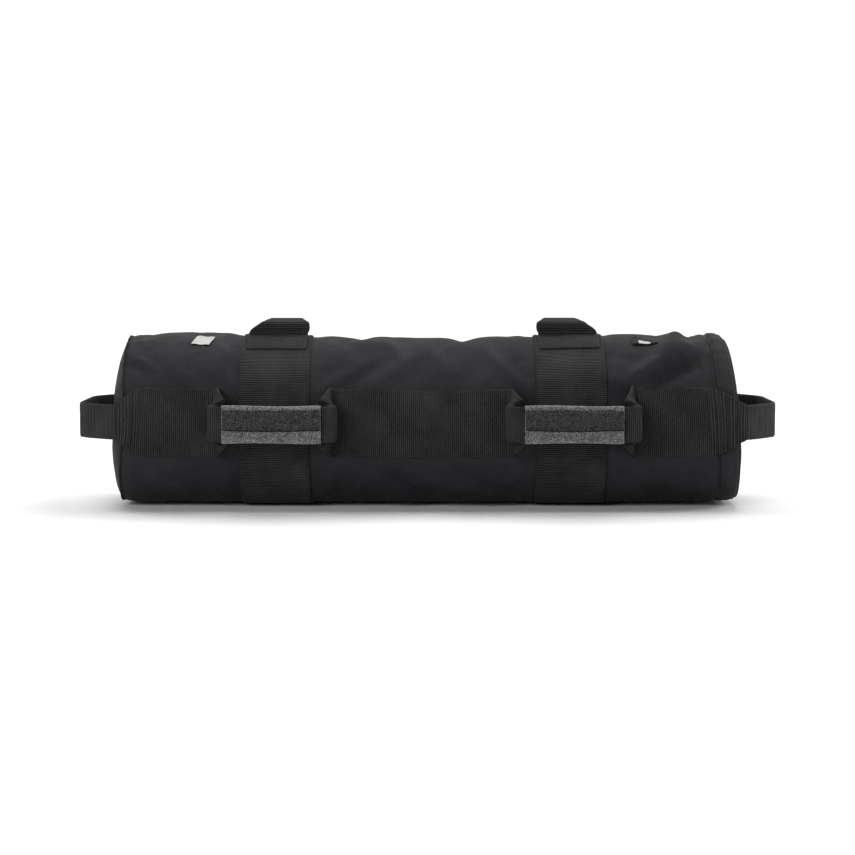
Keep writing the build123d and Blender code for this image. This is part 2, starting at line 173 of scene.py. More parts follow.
def section_radius(angle, out):
    """Distance from the axis to the drum's outline, a circle settled onto the floor."""
    drop = -math.cos(math.radians(angle))
    circle = RADIUS + out
    if drop < 0.3:
        return circle
    floor = (AXIS_Z - BASE_Z + out) / drop
    soften = 0.012
    mix = min(max(0.5 + (floor - circle) / (2 * soften), 0.0), 1.0)
    return floor + (circle - floor) * mix - soften * mix * (1 - mix)


def skin(x, angle, out=0.0, lift=None):
    """The point of the filled drum at x and an angle from the top towards the back, out from its cloth."""
    height = relief(x, angle) if lift is None else lift
    ends = 0.003 * (1 - smooth(x, SEAM_X - 0.002, SEAM_X + 0.018)) ** 2
    ends += 0.004 * smooth(x, LID_FACE_X - 0.016, LID_FACE_X + 0.002) ** 2
    reach = section_radius(angle, out) + height - ends
    turn = math.radians(angle)
    y, z = reach * math.sin(turn), AXIS_Z + reach * math.cos(turn)
    rise = max((z - BASE_Z) / (2 * RADIUS), 0.0)
    z -= rise**2 * (0.0062 * math.exp(-(((x + 0.01) / 0.13) ** 2)) - 0.0015 * smooth(abs(x), 0.2, 0.3))
    lean = 0.009 * rise**2 * smooth(x, 0.20, ZIP_X)
    strap = math.exp(-(((angle + ROW_ANGLE) / 22) ** 2)) + math.exp(-(((angle - ROW_ANGLE) / 22) ** 2))
    pulled = 0.005 * strap * (1 - smooth(x, SEAM_X, SEAM_X + 0.03))
    slump = (1 - rise) ** 2 if rise < 1 else 0.0
    lean += slump * (0.007 * (1 - smooth(x, SEAM_X, SEAM_X + 0.05)) - 0.004 * smooth(x, 0.26, LID_FACE_X))
    return Vector((x - lean + pulled, y, z))


def skin_normal(x, angle, out=0.0):
    """Outward direction of the drum's cloth."""
    step = 0.002
    along = skin(x + step, angle, out) - skin(x - step, angle, out)
    around = skin(x, angle + 1, out) - skin(x, angle - 1, out)
    return along.cross(around).normalized() * -1


def cloth(name, cells, size, place, thickness=0.0, facing=None, **finish):
    """A grid of cells[0] by cells[1] laid by place(u, v), both from 0 to 1, with a UV map in metres.

    It turns its back on the point facing, or on the bag's axis, and finish goes to thicken().
    """
    mesh = bmesh.new()
    bmesh.ops.create_grid(mesh, x_segments=cells[0], y_segments=cells[1], size=0.5)
    layer = mesh.loops.layers.uv.new("UVMap")
    for face in mesh.faces:
        for loop in face.loops:
            u, v = loop.vert.co.x + 0.5, loop.vert.co.y + 0.5
            loop[layer].uv = (u * size[0], v * size[1])
    for vert in mesh.verts:
        vert.co = place(vert.co.x + 0.5, vert.co.y + 0.5)
    bmesh.ops.remove_doubles(mesh, verts=mesh.verts, dist=1e-5)
    piece = face_out(new_object(name, mesh), facing)
    return thicken(piece, thickness, **finish) if thickness else piece


def new_object(name, mesh):
    """Links a bmesh to the scene as a smooth-shaded object."""
    data = bpy.data.meshes.new(name)
    mesh.to_mesh(data)
    mesh.free()
    piece = bpy.data.objects.new(name, data)
    bpy.context.scene.collection.objects.link(piece)
    data.polygons.foreach_set("use_smooth", [True] * len(data.polygons))
    return piece


def face_out(piece, centre=None):
    """Turns a sheet over if it faces the given centre, or the bag's axis."""
    score = 0.0
    for face in piece.data.polygons:
        middle = Vector((face.center.x, 0, AXIS_Z)) if centre is None else Vector(centre)
        score += face.normal.dot(face.center - middle) * face.area
    if score < 0:
        piece.data.flip_normals()
    return piece


def thicken(piece, thickness, offset=-1.0, edge=0.0, levels=0):
    """Gives a sheet its thickness, rounds its edges, and makes the result the piece's own mesh."""
    solid = piece.modifiers.new("thickness", "SOLIDIFY")
    solid.thickness = thickness
    solid.offset = offset
    solid.use_even_offset = offset < 0
    if edge:
        bevel = piece.modifiers.new("edge", "BEVEL")
        bevel.width = edge
        bevel.segments = 2
        bevel.limit_method = "ANGLE"
        bevel.angle_limit = math.radians(50)
    return subdivide(piece, levels)


def subdivide(piece, levels):
    """Adds subdivision if asked, then applies every modifier."""
    if levels:
        finer = piece.modifiers.new("finer", "SUBSURF")
        finer.levels = levels
        finer.render_levels = levels
    return apply_modifiers(piece)


def apply_modifiers(piece):
    """Makes the modified shape the piece's own mesh."""
    graph = bpy.context.evaluated_depsgraph_get()
    data = bpy.data.meshes.new_from_object(piece.evaluated_get(graph))
    piece.modifiers.clear()
    old, piece.data = piece.data, data
    bpy.data.meshes.remove(old)
    data.name = piece.name
    data.polygons.foreach_set("use_smooth", [True] * len(data.polygons))
    return piece


def smooth_line(points, count):
    """A smooth curve through the points, as count evenly spaced points."""
    ends = [points[0] * 2 - points[1], *points, points[-1] * 2 - points[-2]]
    dense = []
    for p0, p1, p2, p3 in zip(ends, ends[1:], ends[2:], ends[3:]):
        for step in range(24):
            t = step / 24
            dense.append(
                0.5 * (2 * p1 + (p2 - p0) * t + (2 * p0 - 5 * p1 + 4 * p2 - p3) * t**2
                       + (3 * p1 - p0 - 3 * p2 + p3) * t**3)
            )
    dense.append(points[-1])
    run = [0.0]
    for a, b in zip(dense, dense[1:]):
        run.append(run[-1] + (b - a).length)
    line, at = [], 0
    for index in range(count):
        want = run[-1] * index / (count - 1)
        while at < len(run) - 2 and run[at + 1] < want:
            at += 1
        share = (want - run[at]) / max(run[at + 1] - run[at], 1e-9)
        line.append(dense[at].lerp(dense[at + 1], share))
    return line, run[-1]


# ---- Materials ----


class Wire:
    """A shader value. Arithmetic on it adds Math nodes."""

    def __init__(self, finish, socket):
        self.finish = finish
        self.socket = socket

    def __add__(self, other):
        return self.finish.math("ADD", self, other)

    def __sub__(self, other):
        return self.finish.math("SUBTRACT", self, other)

    def __rsub__(self, other):
        return self.finish.math("SUBTRACT", other, self)

    def __mul__(self, other):
        return self.finish.math("MULTIPLY", self, other)

    def __truediv__(self, other):
        return self.finish.math("DIVIDE", self, other)

    __radd__ = __add__
    __rmul__ = __mul__

    def sine(self):
        return self.finish.math("SINE", self)

    def floor(self):
        return self.finish.math("FLOOR", self)

    def above(self, edge, softness):
        """0 below edge and 1 above it, over a soft step."""
        return self.finish.node(
            "ShaderNodeMapRange", {"interpolation_type": "SMOOTHSTEP"},
            {"Value": self, "From Min": edge - softness, "From Max": edge + softness},
        )


def socket_name(key):
    return key.replace("_", " ").title().replace("Ior", "IOR")


class Finish:
    """A material built from nodes on one Principled shader."""

    def __init__(self, name, **constants):
        self.material = bpy.data.materials.new(name)
        self.material.use_nodes = True
        self.tree = self.material.node_tree
        self.shader = self.tree.nodes["Principled BSDF"]
        for key, value in constants.items():
            self.shader.inputs[socket_name(key)].default_value = value

    def node(self, kind, settings=None, sockets=None, output=0):
        """Adds a node, with its settings set first, and returns one of its outputs."""
        node = self.tree.nodes.new(kind)
        for key, value in (settings or {}).items():
            setattr(node, key, value)
        for key, value in (sockets or {}).items():
            if isinstance(value, Wire):
                self.tree.links.new(value.socket, node.inputs[key])
            else:
                node.inputs[key].default_value = value
        return Wire(self, node.outputs[output])

    def math(self, operation, *values):
        return self.node("ShaderNodeMath", {"operation": operation}, dict(enumerate(values)))

    def coordinates(self, kind):
        return self.node("ShaderNodeTexCoord", output=kind)

    def split(self, vector, axis):
        return self.node("ShaderNodeSeparateXYZ", None, {0: vector}, axis)

    def noise(self, vector, scale, detail=2.0, roughness=0.5):
        return self.node(
            "ShaderNodeTexNoise", None,
            {"Vector": vector, "Scale": scale, "Detail": detail, "Roughness": roughness},
        )

    def blend(self, share, first, second):
        """A colour between two colours."""
        return self.node("ShaderNodeMix", {"data_type": "RGBA"}, {0: share, 6: first, 7: second}, 2)

    def feed(self, **links):
        for key, wire in links.items():
            self.tree.links.new(wire.socket, self.shader.inputs[socket_name(key)])
        return self

    def bump(self, height, depth, strength=1.0):
        normal = self.node(
            "ShaderNodeBump", None, {"Height": height, "Distance": depth, "Strength": strength}
        )
        return self.feed(normal=normal)


def shade(colour, factor):
    """The colour, darker or lighter, with its alpha."""
    return (*[channel * factor for channel in colour[:3]], 1.0)


def woven_cloth(name, colour, pitch=0.0008):
    """Heavy plain-woven cloth with uneven yarns, dusty and a little shiny."""
    cloth_finish = Finish(name, roughness=0.62, specular_ior_level=0.10)
    place = cloth_finish.coordinates("Object")
    turn = 2 * math.pi / pitch
    x, y, z = (cloth_finish.split(place, axis) for axis in range(3))
    warp = (x * turn).sine()
    weft = ((y + z) * turn).sine()
    yarns = warp * 0.5 + weft * 0.5
    slubs = cloth_finish.noise(place, 520.0, 3.0, 0.7)
    dust = cloth_finish.noise(place, 14.0, 3.0, 0.55)
    tone = (slubs - 0.5) * 1.4 + (dust - 0.5) * 0.7 + 0.5
    cloth_finish.feed(base_color=cloth_finish.blend(tone, shade(colour, 0.55), shade(colour, 1.5)))
    cloth_finish.feed(roughness=0.74 - dust * 0.16)
    return cloth_finish.bump(yarns * 0.35 + slubs, 0.00035, 0.7).material


def ribbed_webbing(name, colour):
    """Webbing with ribs across its length, each rib a row of yarn crossings."""
    pitch, yarn_pitch = 0.0022, 0.0019
    webbing = Finish(name, roughness=0.7, specular_ior_level=0.14)
    place = webbing.coordinates("UV")
    along, across = webbing.split(place, 0), webbing.split(place, 1)
    wander = webbing.noise(place, 160.0, 2.0)
    rib = ((along + wander * 0.0006) * (2 * math.pi / pitch)).sine()
    row = (along / (pitch / 2)).floor()
    yarn = (across * (2 * math.pi / yarn_pitch) + row * math.pi).sine()
    fibre = webbing.noise(place, 900.0, 2.0, 0.6)
    wear = webbing.noise(place, 22.0, 3.0, 0.6)
    height = rib * 0.5 + yarn * 0.28 + fibre * 0.5
    tone = rib * 0.36 + yarn * 0.16 + (fibre - 0.5) * 1.1 + (wear - 0.5) * 0.9 + 0.40
    webbing.feed(base_color=webbing.blend(tone, shade(colour, 0.06), shade(colour, 2.9)))
    return webbing.bump(height, 0.0008, 1.0).material


def fuzzy_loops(name, colour, contrast):
    """Brushed loop cloth: a dense pile of pale and dark loops."""
    pile = Finish(name, roughness=0.92, sheen_weight=0.35, sheen_roughness=0.4, specular_ior_level=0.15)
    place = pile.coordinates("Object")
    loops = pile.node(
        "ShaderNodeTexVoronoi", {"feature": "F1"}, {"Vector": place, "Scale": 750.0, "Randomness": 1.0}
    )
    fluff = pile.noise(place, 1100.0, 4.0, 0.75)
    clump = pile.noise(place, 170.0, 3.0, 0.6)
    speck = pile.noise(place, 1300.0, 2.0, 0.6)
    tone = (0.5 - loops) * 0.6 + (speck - 0.5) * 3.4 * contrast + (fluff - 0.5) * 1.2
    tone = tone + (clump - 0.5) * 0.8 + 0.32
    pile.feed(base_color=pile.blend(tone, shade(colour, 0.12), shade(colour, 2.9)))
    return pile.bump(fluff * 0.6 - loops + clump * 0.8, 0.0012, 1.0).material


def plain_thread(name, colour):
    """Twisted sewing thread."""
    thread = Finish(name, roughness=0.7, specular_ior_level=0.15)
    place = thread.coordinates("Object")
    twist = thread.noise(place, 1500.0, 2.0)
    thread.feed(base_color=thread.blend(twist, shade(colour, 0.6), shade(colour, 1.5)))
    return thread.bump(twist, 0.0002).material


def satin_label(name, colour):
    """A woven label with fine satin ribs and slightly soiled folds."""
    label = Finish(name, roughness=0.55, specular_ior_level=0.4)
    place = label.coordinates("UV")
    rib = (label.split(place, 1) * (2 * math.pi / 0.0006)).sine()
    soil = label.noise(place, 90.0, 3.0)
    label.feed(base_color=label.blend(soil, shade(colour, 0.86), shade(colour, 1.05)))
    return label.bump(rib, 0.0001).material


def black_enamel(name, colour):
    """Enamelled metal, worn a little at random."""
    enamel = Finish(name, metallic=0.0, coat_weight=0.25, coat_roughness=0.2, specular_ior_level=0.5)
    place = enamel.coordinates("Object")
    worn = enamel.noise(place, 260.0, 4.0, 0.65).above(0.66, 0.04)
    enamel.feed(base_color=enamel.blend(worn, (*colour[:3], 1.0), (0.30, 0.29, 0.28, 1.0)))
    enamel.feed(metallic=worn, roughness=0.34 + worn * 0.14)
    return enamel.bump(enamel.noise(place, 700.0), 0.0001, 0.3).material


def moulded_nylon(name, colour):
    """Nylon monofilament, as in a zip's coil."""
    nylon = Finish(name, specular_ior_level=0.5)
    place = nylon.coordinates("Object")
    grain = nylon.noise(place, 600.0, 2.0)
    nylon.feed(base_color=nylon.blend(grain, shade(colour, 0.7), shade(colour, 1.3)))
    return nylon.feed(roughness=0.3 + grain * 0.15).material


def coated_ripstop(name, colour):
    """Thin coated cloth with a grid of thicker yarns."""
    ripstop = Finish(name, specular_ior_level=0.45)
    place = ripstop.coordinates("Object")
    lines = []
    for axis in range(3):
        wave = (ripstop.split(place, axis) * (2 * math.pi / 0.006)).sine()
        lines.append(wave.above(0.93, 0.05))
    grid = lines[0] + lines[1] + lines[2]
    crinkle = ripstop.noise(place, 60.0, 4.0, 0.6)
    ripstop.feed(base_color=ripstop.blend(crinkle, shade(colour, 0.7), shade(colour, 1.5)))
    ripstop.feed(roughness=0.42 + crinkle * 0.2)
    return ripstop.bump(grid * 0.3 + crinkle, 0.0008, 0.6).material


def dry_sand(name, colour):
    """Loose dry sand."""
    sand = Finish(name, roughness=0.95)
    place = sand.coordinates("Object")
    grains = sand.node("ShaderNodeTexVoronoi", {"feature": "F1"}, {"Vector": place, "Scale": 1200.0}, 1)
    shape = sand.noise(place, 1200.0, 2.0)
    sand.feed(base_color=sand.node(
        "ShaderNodeMix", {"data_type": "RGBA", "blend_type": "MULTIPLY"},
        {0: 0.4, 6: (*colour[:3], 1.0), 7: grains}, 2,
    ))
    return sand.bump(shape, 0.0006).material


MATERIALS = {}


def material(key):
    """The named material, made the first time it is asked for from the panel's colours."""
    look = bpy.context.scene.sandbag_look
    makers = {
        "shell": partial(woven_cloth, "shell_cloth", look.shell_colour),
        "lid": partial(woven_cloth, "lid_cloth", shade(look.shell_colour, 1.12)),
        "webbing": partial(ribbed_webbing, "ribbed_webbing", look.webbing_colour),
        "grip": partial(fuzzy_loops, "grip_loops", look.grip_colour, 1.1),
        "flap": partial(fuzzy_loops, "flap_loops", shade(look.grip_colour, 0.27), 1.3),
        "thread": partial(plain_thread, "sewing_thread", look.thread_colour),
        "label": partial(satin_label, "label_satin", look.label_colour),
        "metal": partial(black_enamel, "black_enamel", (0.022, 0.022, 0.024)),
        "coil": partial(moulded_nylon, "coil_nylon", (0.016, 0.016, 0.017)),
        "tape": partial(woven_cloth, "zip_tape", (0.018, 0.018, 0.019), 0.0006),
        "filler": partial(coated_ripstop, "filler_cloth", (0.040, 0.041, 0.044)),
        "hooks": partial(fuzzy_loops, "closure_pile", (0.016, 0.016, 0.017), 1.0),
        "sand": partial(dry_sand, "dry_sand", (0.55, 0.45, 0.31)),
    }
    if key not in MATERIALS:
        MATERIALS[key] = makers[key]()
    return MATERIALS[key]


def dress(piece, key, body, slot, *nodes):
    """Gives a piece its material and body, and hides the CAD nodes it stands for. The slot is not used."""
    piece.data.materials.clear()
    piece.data.materials.append(material(key))
    if body:
        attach(piece, body)
    if nodes:
        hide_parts(*nodes)
    return piece


def recolour(node, key):
    """Gives a CAD node a finished material."""
    data = frame["nodes"][node].data
    data.materials.clear()
    data.materials.append(material(key))


# ---- Settings ----


class SandbagLook(bpy.types.PropertyGroup):
    """Colours of the bag's cloths."""

    shell_colour: bpy.props.FloatVectorProperty(
        name="Shell", description="Colour of the shell's cloth", subtype="COLOR", size=3, min=0, max=1,
        default=(0.0175, 0.0170, 0.0195),
    )
    webbing_colour: bpy.props.FloatVectorProperty(
        name="Webbing", description="Colour of the webbing", subtype="COLOR", size=3, min=0, max=1,
        default=(0.0195, 0.0200, 0.0188),
    )
    grip_colour: bpy.props.FloatVectorProperty(
        name="Grips", description="Colour of the grips' loop cloth", subtype="COLOR", size=3, min=0, max=1,
        default=(0.118, 0.118, 0.122),
    )
    thread_colour: bpy.props.FloatVectorProperty(
        name="Thread", description="Colour of the sewing thread", subtype="COLOR", size=3, min=0, max=1,
        default=(0.019, 0.019, 0.018),
    )
    label_colour: bpy.props.FloatVectorProperty(
        name="Labels", description="Colour of the blank labels", subtype="COLOR", size=3, min=0, max=1,
        default=(0.56, 0.56, 0.54),
    )


class SandbagSizes(bpy.types.PropertyGroup):
    """Sizes of the bag's sewing."""

    stitch_pitch: bpy.props.FloatProperty(
        name="Stitch Pitch", description="From one stitch to the next", default=0.0042, min=0.002,
        unit="LENGTH",
    )
    stitch_length: bpy.props.FloatProperty(
        name="Stitch Length", description="Length of the thread that shows", default=0.0029, min=0.001,
        unit="LENGTH",
    )
    stitch_inset: bpy.props.FloatProperty(
        name="Stitch Inset", description="From the webbing's edge to its stitching", default=0.0036,
        min=0.001, unit="LENGTH",
    )
    fold_radius: bpy.props.FloatProperty(
        name="Fold Radius", description="Radius of the handles' folded edges", default=0.0012, min=0.001,
        unit="LENGTH",
    )
    grip_half: bpy.props.FloatProperty(
        name="Folded Half Width", description="Half the width of the folded webbing", default=0.0185,
        min=0.01, unit="LENGTH",
    )


def sizes():
    """The panel's sizes."""
    return bpy.context.scene.sandbag_sizes


# ---- Stitching ----


def beads(name, places):
    """Many small ellipsoids, each given by a matrix, joined as one piece."""
    joined = bmesh.new()
    lying = Matrix.Rotation(math.pi / 2, 4, "Y")
    for start in range(0, len(places), 40):
        mesh = bmesh.new()
        for place in places[start:start + 40]:
            bmesh.ops.create_uvsphere(mesh, u_segments=6, v_segments=4, radius=1.0, matrix=place @ lying)
        data = bpy.data.meshes.new(name)
        mesh.to_mesh(data)
        mesh.free()
        joined.from_mesh(data)
        bpy.data.meshes.remove(data)
    return new_object(name, joined)


def stitches(name, rows):
    """Short raised stitches. Each row is a list of (point, direction, normal)."""
    length = sizes().stitch_length
    places = []
    for row in rows:
        for point, along, normal in row:
            side = normal.cross(along).normalized()
            turn = Matrix((along, side, normal)).transposed().to_4x4()
            scale = Matrix.Diagonal((length / 2, 0.00055, 0.00045, 1.0))
            places.append(Matrix.Translation(point) @ turn @ scale)
    return beads(name, places)


def stitch_row(place, start, end, length):
    """Stitches evenly along a straight run of a (u, v) surface. place(u, v) gives the point and normal."""
    count = max(int(length / sizes().stitch_pitch), 1)
    row = []
    for index in range(count):
        t = (index + 0.5) / count
        u, v = (a + (b - a) * t for a, b in zip(start, end))
        step = 0.2 / count
        du, dv = ((b - a) * step for a, b in zip(start, end))
        point, normal = place(u, v)
        ahead = place(u + du, v + dv)[0]
        along = (ahead - point).normalized()
        along = (along - normal * along.dot(normal)).normalized()
        row.append((point, along, normal))
    return row


def boxed_cross(place, low, high, width, height):
    """Rows of a sewn box with a cross in it, between two (u, v) corners."""
    corners = [(low[0], low[1]), (high[0], low[1]), (high[0], high[1]), (low[0], high[1])]
    lengths = [width, height, width, height]
    rows = [stitch_row(place, a, b, l) for a, b, l in zip(corners, corners[1:] + corners[:1], lengths)]
    slant = math.hypot(width, height)
    rows.append(stitch_row(place, corners[0], corners[2], slant))
    rows.append(stitch_row(place, corners[1], corners[3], slant))
    return rows


# ---- Bag ----

PANELS = {place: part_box(f"front_panel_{place}") for place in ("closed_end", "centre", "zip_end")}
ROW_HALF_ARC = math.degrees(WEBBING_WIDTH / 2 / RADIUS)
ROWS = (("front", -1), ("back", 1))
SIDES = ("closed_side", "zip_side")
AXIS_POINT = (0, 0, AXIS_Z)
GIRTH = 2 * math.pi * RADIUS


def lerp(a, b, share):
    return a + (b - a) * share


def angle_of(point):
    """Degrees from the top towards the back, round the bag's axis."""
    return math.degrees(math.atan2(point.y, point.z - AXIS_Z))


def held_down(x, angle):
    """1 where the shell's cloth is sewn down, falling to 0 between."""
    firm = 0.0
    for edge in (SEAM_X, TUBE_END_X):
        firm = max(firm, 1 - smooth(abs(x - edge), 0.004, 0.020))
    for low, high in BANDS.values():
        firm = max(firm, 1 - smooth(max(low.x - x, x - high.x), 0.001, 0.014))
    for low, high in PANELS.values():
        across = (abs(abs(angle) - ROW_ANGLE) - 22.5) * math.radians(1) * RADIUS
        firm = max(firm, 1 - smooth(max(low.x - x, x - high.x, across), 0.001, 0.014))
    for low, high in (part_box("woven_label"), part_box("loop_tab")):
        around = (abs(angle - math.degrees(math.asin((low.y + high.y) / 2 / RADIUS))) - 9) * 0.0017
        firm = max(firm, 1 - smooth(max(low.x - 0.004 - x, x - high.x - 0.004, around), 0.001, 0.012))
    return max(firm, smooth(abs(angle), 138, 150))


def settle_cloth(piece, angles):
    """Lets the shell's cloth ripple over the sand by simulation, and keeps a little of the result."""
    rest = [vert.co.copy() for vert in piece.data.vertices]
    pins = piece.vertex_groups.new(name="sewn")
    for index, (x, angle) in enumerate(angles):
        pins.add([index], min(held_down(x, angle), 1.0), "REPLACE")
    sim = piece.modifiers.new("cloth", "CLOTH")
    for key, value in {
        "quality": 5, "mass": 0.5, "tension_stiffness": 40, "compression_stiffness": 40,
        "shear_stiffness": 15, "bending_stiffness": 3, "use_pressure": True,
        "uniform_pressure_force": 4.0, "shrink_min": -0.035, "vertex_group_mass": "sewn",
    }.items():
        setattr(sim.settings, key, value)
    sim.settings.effector_weights.gravity = 0.0
    sim.collision_settings.use_collision = False
    sim.point_cache.frame_start, sim.point_cache.frame_end = 1, 20
    for frame_number in range(1, 21):
        bpy.context.scene.frame_set(frame_number)
    settled = piece.evaluated_get(bpy.context.evaluated_depsgraph_get())
    ends = [vert.co.copy() for vert in settled.to_mesh().vertices]
    settled.to_mesh_clear()
    piece.modifiers.clear()
    bpy.context.scene.frame_set(1)
    limit, kept = 0.0035, 0.8
    for vert, start, end, (x, angle) in zip(piece.data.vertices, rest, ends, angles):
        shift = (end - start) * (1 - held_down(x, angle))
        if shift.length > 1e-9:
            shift *= limit * math.tanh(shift.length / limit) / shift.length
        vert.co = start + shift * kept


class SANDBAG_OT_shell(bpy.types.Operator):
    """Shell tube: heavy cloth filled with sand."""

    bl_idname = "sandbag.shell"
    bl_label = "Shell"

    def execute(self, context):
        length = TUBE_END_X + 0.0009 - SEAM_X
        cells = ((112, 100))
        places = {}

        def key(point):
            return tuple(round(c, 6) for c in point)

        def place(u, v):
            x, angle = SEAM_X + length * u, 360 * v - 180
            point = skin(x, angle)
            places[key(point)] = (x, angle)
            return point

        shell = cloth("shell_tube_cloth", cells, (length, GIRTH), place)
        settle_cloth(shell, [
            places.get(key(vert.co)) or (vert.co.x, angle_of(vert.co)) for vert in shell.data.vertices
        ])
        thicken(shell, 0.0014, levels=1)
        dress(shell, "shell", "root", "shell_fabric", "shell_tube")
        return {"FINISHED"}


def end_surface(side, share, angle, bulge):
    """A point of a bag end: share is 1 at its edge and 0 in its middle."""
    edge_x = LID_FACE_X if side > 0 else SEAM_X
    edge = skin(edge_x, angle, 0.0 if side > 0 else -0.0015)
    hub = Vector((edge_x - (0.009 * 0.25 if side > 0 else 0.0), 0, AXIS_Z))
    point = hub.lerp(edge, share)
    turn = math.radians(angle)
    ripple = 0.0012 * share**6 * math.sin(turn * 19 + 2 * math.sin(turn * 5)) * (1 - share**8)
    ripple += 0.0016 * noise.noise(Vector((point.y * 22, point.z * 22, side * 5))) * (1 - share**4)
    point.x += side * (bulge * (1 - share**2.6) ** 0.8 + ripple)
    return point


class SANDBAG_OT_closed_end(bpy.types.Operator):
    """Closed end: a round panel pushed out by the sand, with its seam allowance bound inside."""

    bl_idname = "sandbag.closed_end"
    bl_label = "Closed End"

    def execute(self, context):
        def panel(u, v):
            return end_surface(-1, 1 - u, 360 * v - 180, SEAM_X - CLOSED_PEAK_X - 0.0012)

        def piping(u, v):
            turn = 2 * math.pi * u
            x, out = SEAM_X + 0.0011 * math.cos(turn), 0.0011 * math.sin(turn) + 0.0002
            return skin(x, 360 * v - 180, out)

        def binding(u, v):
            return skin(SEAM_X + 0.0035 + 0.012 * u, 360 * v - 180, -0.0030)

        end = cloth("closed_end_cloth", (40, 120), (RADIUS, GIRTH), panel, 0.0016, AXIS_POINT, levels=1)
        dress(end, "shell", "root", "shell_fabric", "closed_end_panel")
        cord = cloth("closed_end_seam", (8, 300), (0.006, 0.6), piping)
        dress(cord, "webbing", "root", "binding_tape")
        tape = cloth("closed_end_binding_tape", (6, 150), (0.012, 0.6), binding, 0.0008)
        dress(tape, "webbing", "root", "binding_tape", "closed_end_binding")
        return {"FINISHED"}


def strip_on_bag(name, x_range, angles, out, cells):
    """Webbing lying on the bag, its length along X or round the bag as the ribs need."""
    low, high = x_range
    first, last = angles
    round_bag = name.startswith(("band", "top"))

    def place(u, v):
        x_share, a_share = (v, u) if round_bag else (u, v)
        return skin(low + (high - low) * x_share, first + (last - first) * a_share, out)

    arc = math.radians(last - first) * RADIUS
    size = (arc, high - low) if round_bag else (high - low, arc)
    return cloth(name, cells, size, place, WEBBING - LAYER, edge=0.0005)


class SANDBAG_OT_bands(bpy.types.Operator):
    """Two webbing bands round the bag."""

    bl_idname = "sandbag.bands"
    bl_label = "Bands"

    def execute(self, context):
        for side, (low, high) in BANDS.items():
            band = strip_on_bag(f"band_{side}_strip", (low.x, high.x), (-180, 180), WEBBING, (240, 34))
            dress(band, "webbing", "root", "webbing", f"band_{side}")
        return {"FINISHED"}


class SANDBAG_OT_panels(bpy.types.Operator):
    """Six lengths of webbing sewn along the bag's front and back."""

    bl_idname = "sandbag.panels"
    bl_label = "Sewn Panels"

    def execute(self, context):
        for row, side in ROWS:
            for place, (low, high) in PANELS.items():
                name = f"{row}_panel_{place}"
                edges = (side * ROW_ANGLE - ROW_HALF_ARC, side * ROW_ANGLE + ROW_HALF_ARC)
                cells = (int((high.x - low.x) / 0.003), 28)
                panel = strip_on_bag(f"{name}_strip", (low.x, high.x), edges, WEBBING, cells)
                dress(panel, "webbing", "root", "webbing", name)
        return {"FINISHED"}


# ---- Handles ----

FOLDED_UNDER = math.radians(177)
LINE_POINTS = 241


def folded_section(v, fold, half, width):
    """Across and depth of a point of webbing whose two edges fold under by the angle fold, in radians."""
    radius = sizes().fold_radius
    reach = abs(v) * width / 2
    if reach <= half:
        return math.copysign(reach, v), 0.0
    turn = min((reach - half) / radius, fold)
    rest = max(reach - half - radius * fold, 0.0)
    across = half + radius * math.sin(turn) + rest * math.cos(fold)
    depth = radius * (1 - math.cos(turn)) + rest * math.sin(fold)
    return math.copysign(across, v), depth


def clear_of_bag(point):
    """The point, moved out if it is inside the bag's cloth."""
    if not SEAM_X - 0.002 < point.x < LID_FACE_X + 0.002:
        return point
    cloth_at = skin(point.x, angle_of(point), 0.0011)
    spoke = Vector((0, point.y, point.z - AXIS_Z))
    need = Vector((0, cloth_at.y, cloth_at.z - AXIS_Z)).length
    if spoke.length >= need:
        return point
    spoke *= need / spoke.length
    return Vector((point.x, spoke.y, spoke.z + AXIS_Z))


def folded_strap(name, cells, size, centre, fold_at, facing, surface=None):
    """A handle's webbing. centre(u) gives (point, across, inward); surface(u, a) the bag under it.

    fold_at(run) gives how far the edges are folded under, 0 to 1, and the half-width that stays flat,
    run metres from the nearer end.
    """
    length, width = size

    def place(u, v):
        fold, half = fold_at(min(u, 1 - u) * length)
        across, depth = folded_section(2 * v - 1, fold * FOLDED_UNDER, half, width)
        point, side, inward = centre(u)
        free = point + side * across + inward * depth
        if surface:
            rest, share = surface(u, across)
            free = rest.lerp(free, share)
        return clear_of_bag(free)

    strap = cloth(name, cells, size, place, 0.0018, facing, offset=0.0, edge=0.0004)
    return dress(strap, "webbing", None, "webbing")


def sample(line, u):
    """The point of a line at u, from 0 to 1, and the line's direction there."""
    last = len(line) - 1
    at = min(int(u * last + 0.5), last)
    return line[at], (line[min(at + 1, last)] - line[max(at - 1, 0)]).normalized()


def flat_half():
    """Half the width of a grip's webbing between its folded edges."""
    return sizes().grip_half - sizes().fold_radius


def slanted_fold(run, start, end, width):
    """A full fold along a slant: the flat half-width narrows evenly from start to end."""
    share = min(max((run - start) / (end - start), 0.0), 1.0)
    return 1.0, lerp(width / 2, flat_half(), share)


def leg_fold(run, start=0.003, upright=0.036, end=0.047):
    """A fold that turns gradually, so that a leg's outline narrows evenly up to upright."""
    if run <= upright:
        share = min(max((run - start) / (upright - start), 0.0), 1.0)
        return math.acos(1 - share) / math.pi, flat_half()
    return smooth(run, 2 * upright - end, end), flat_half()


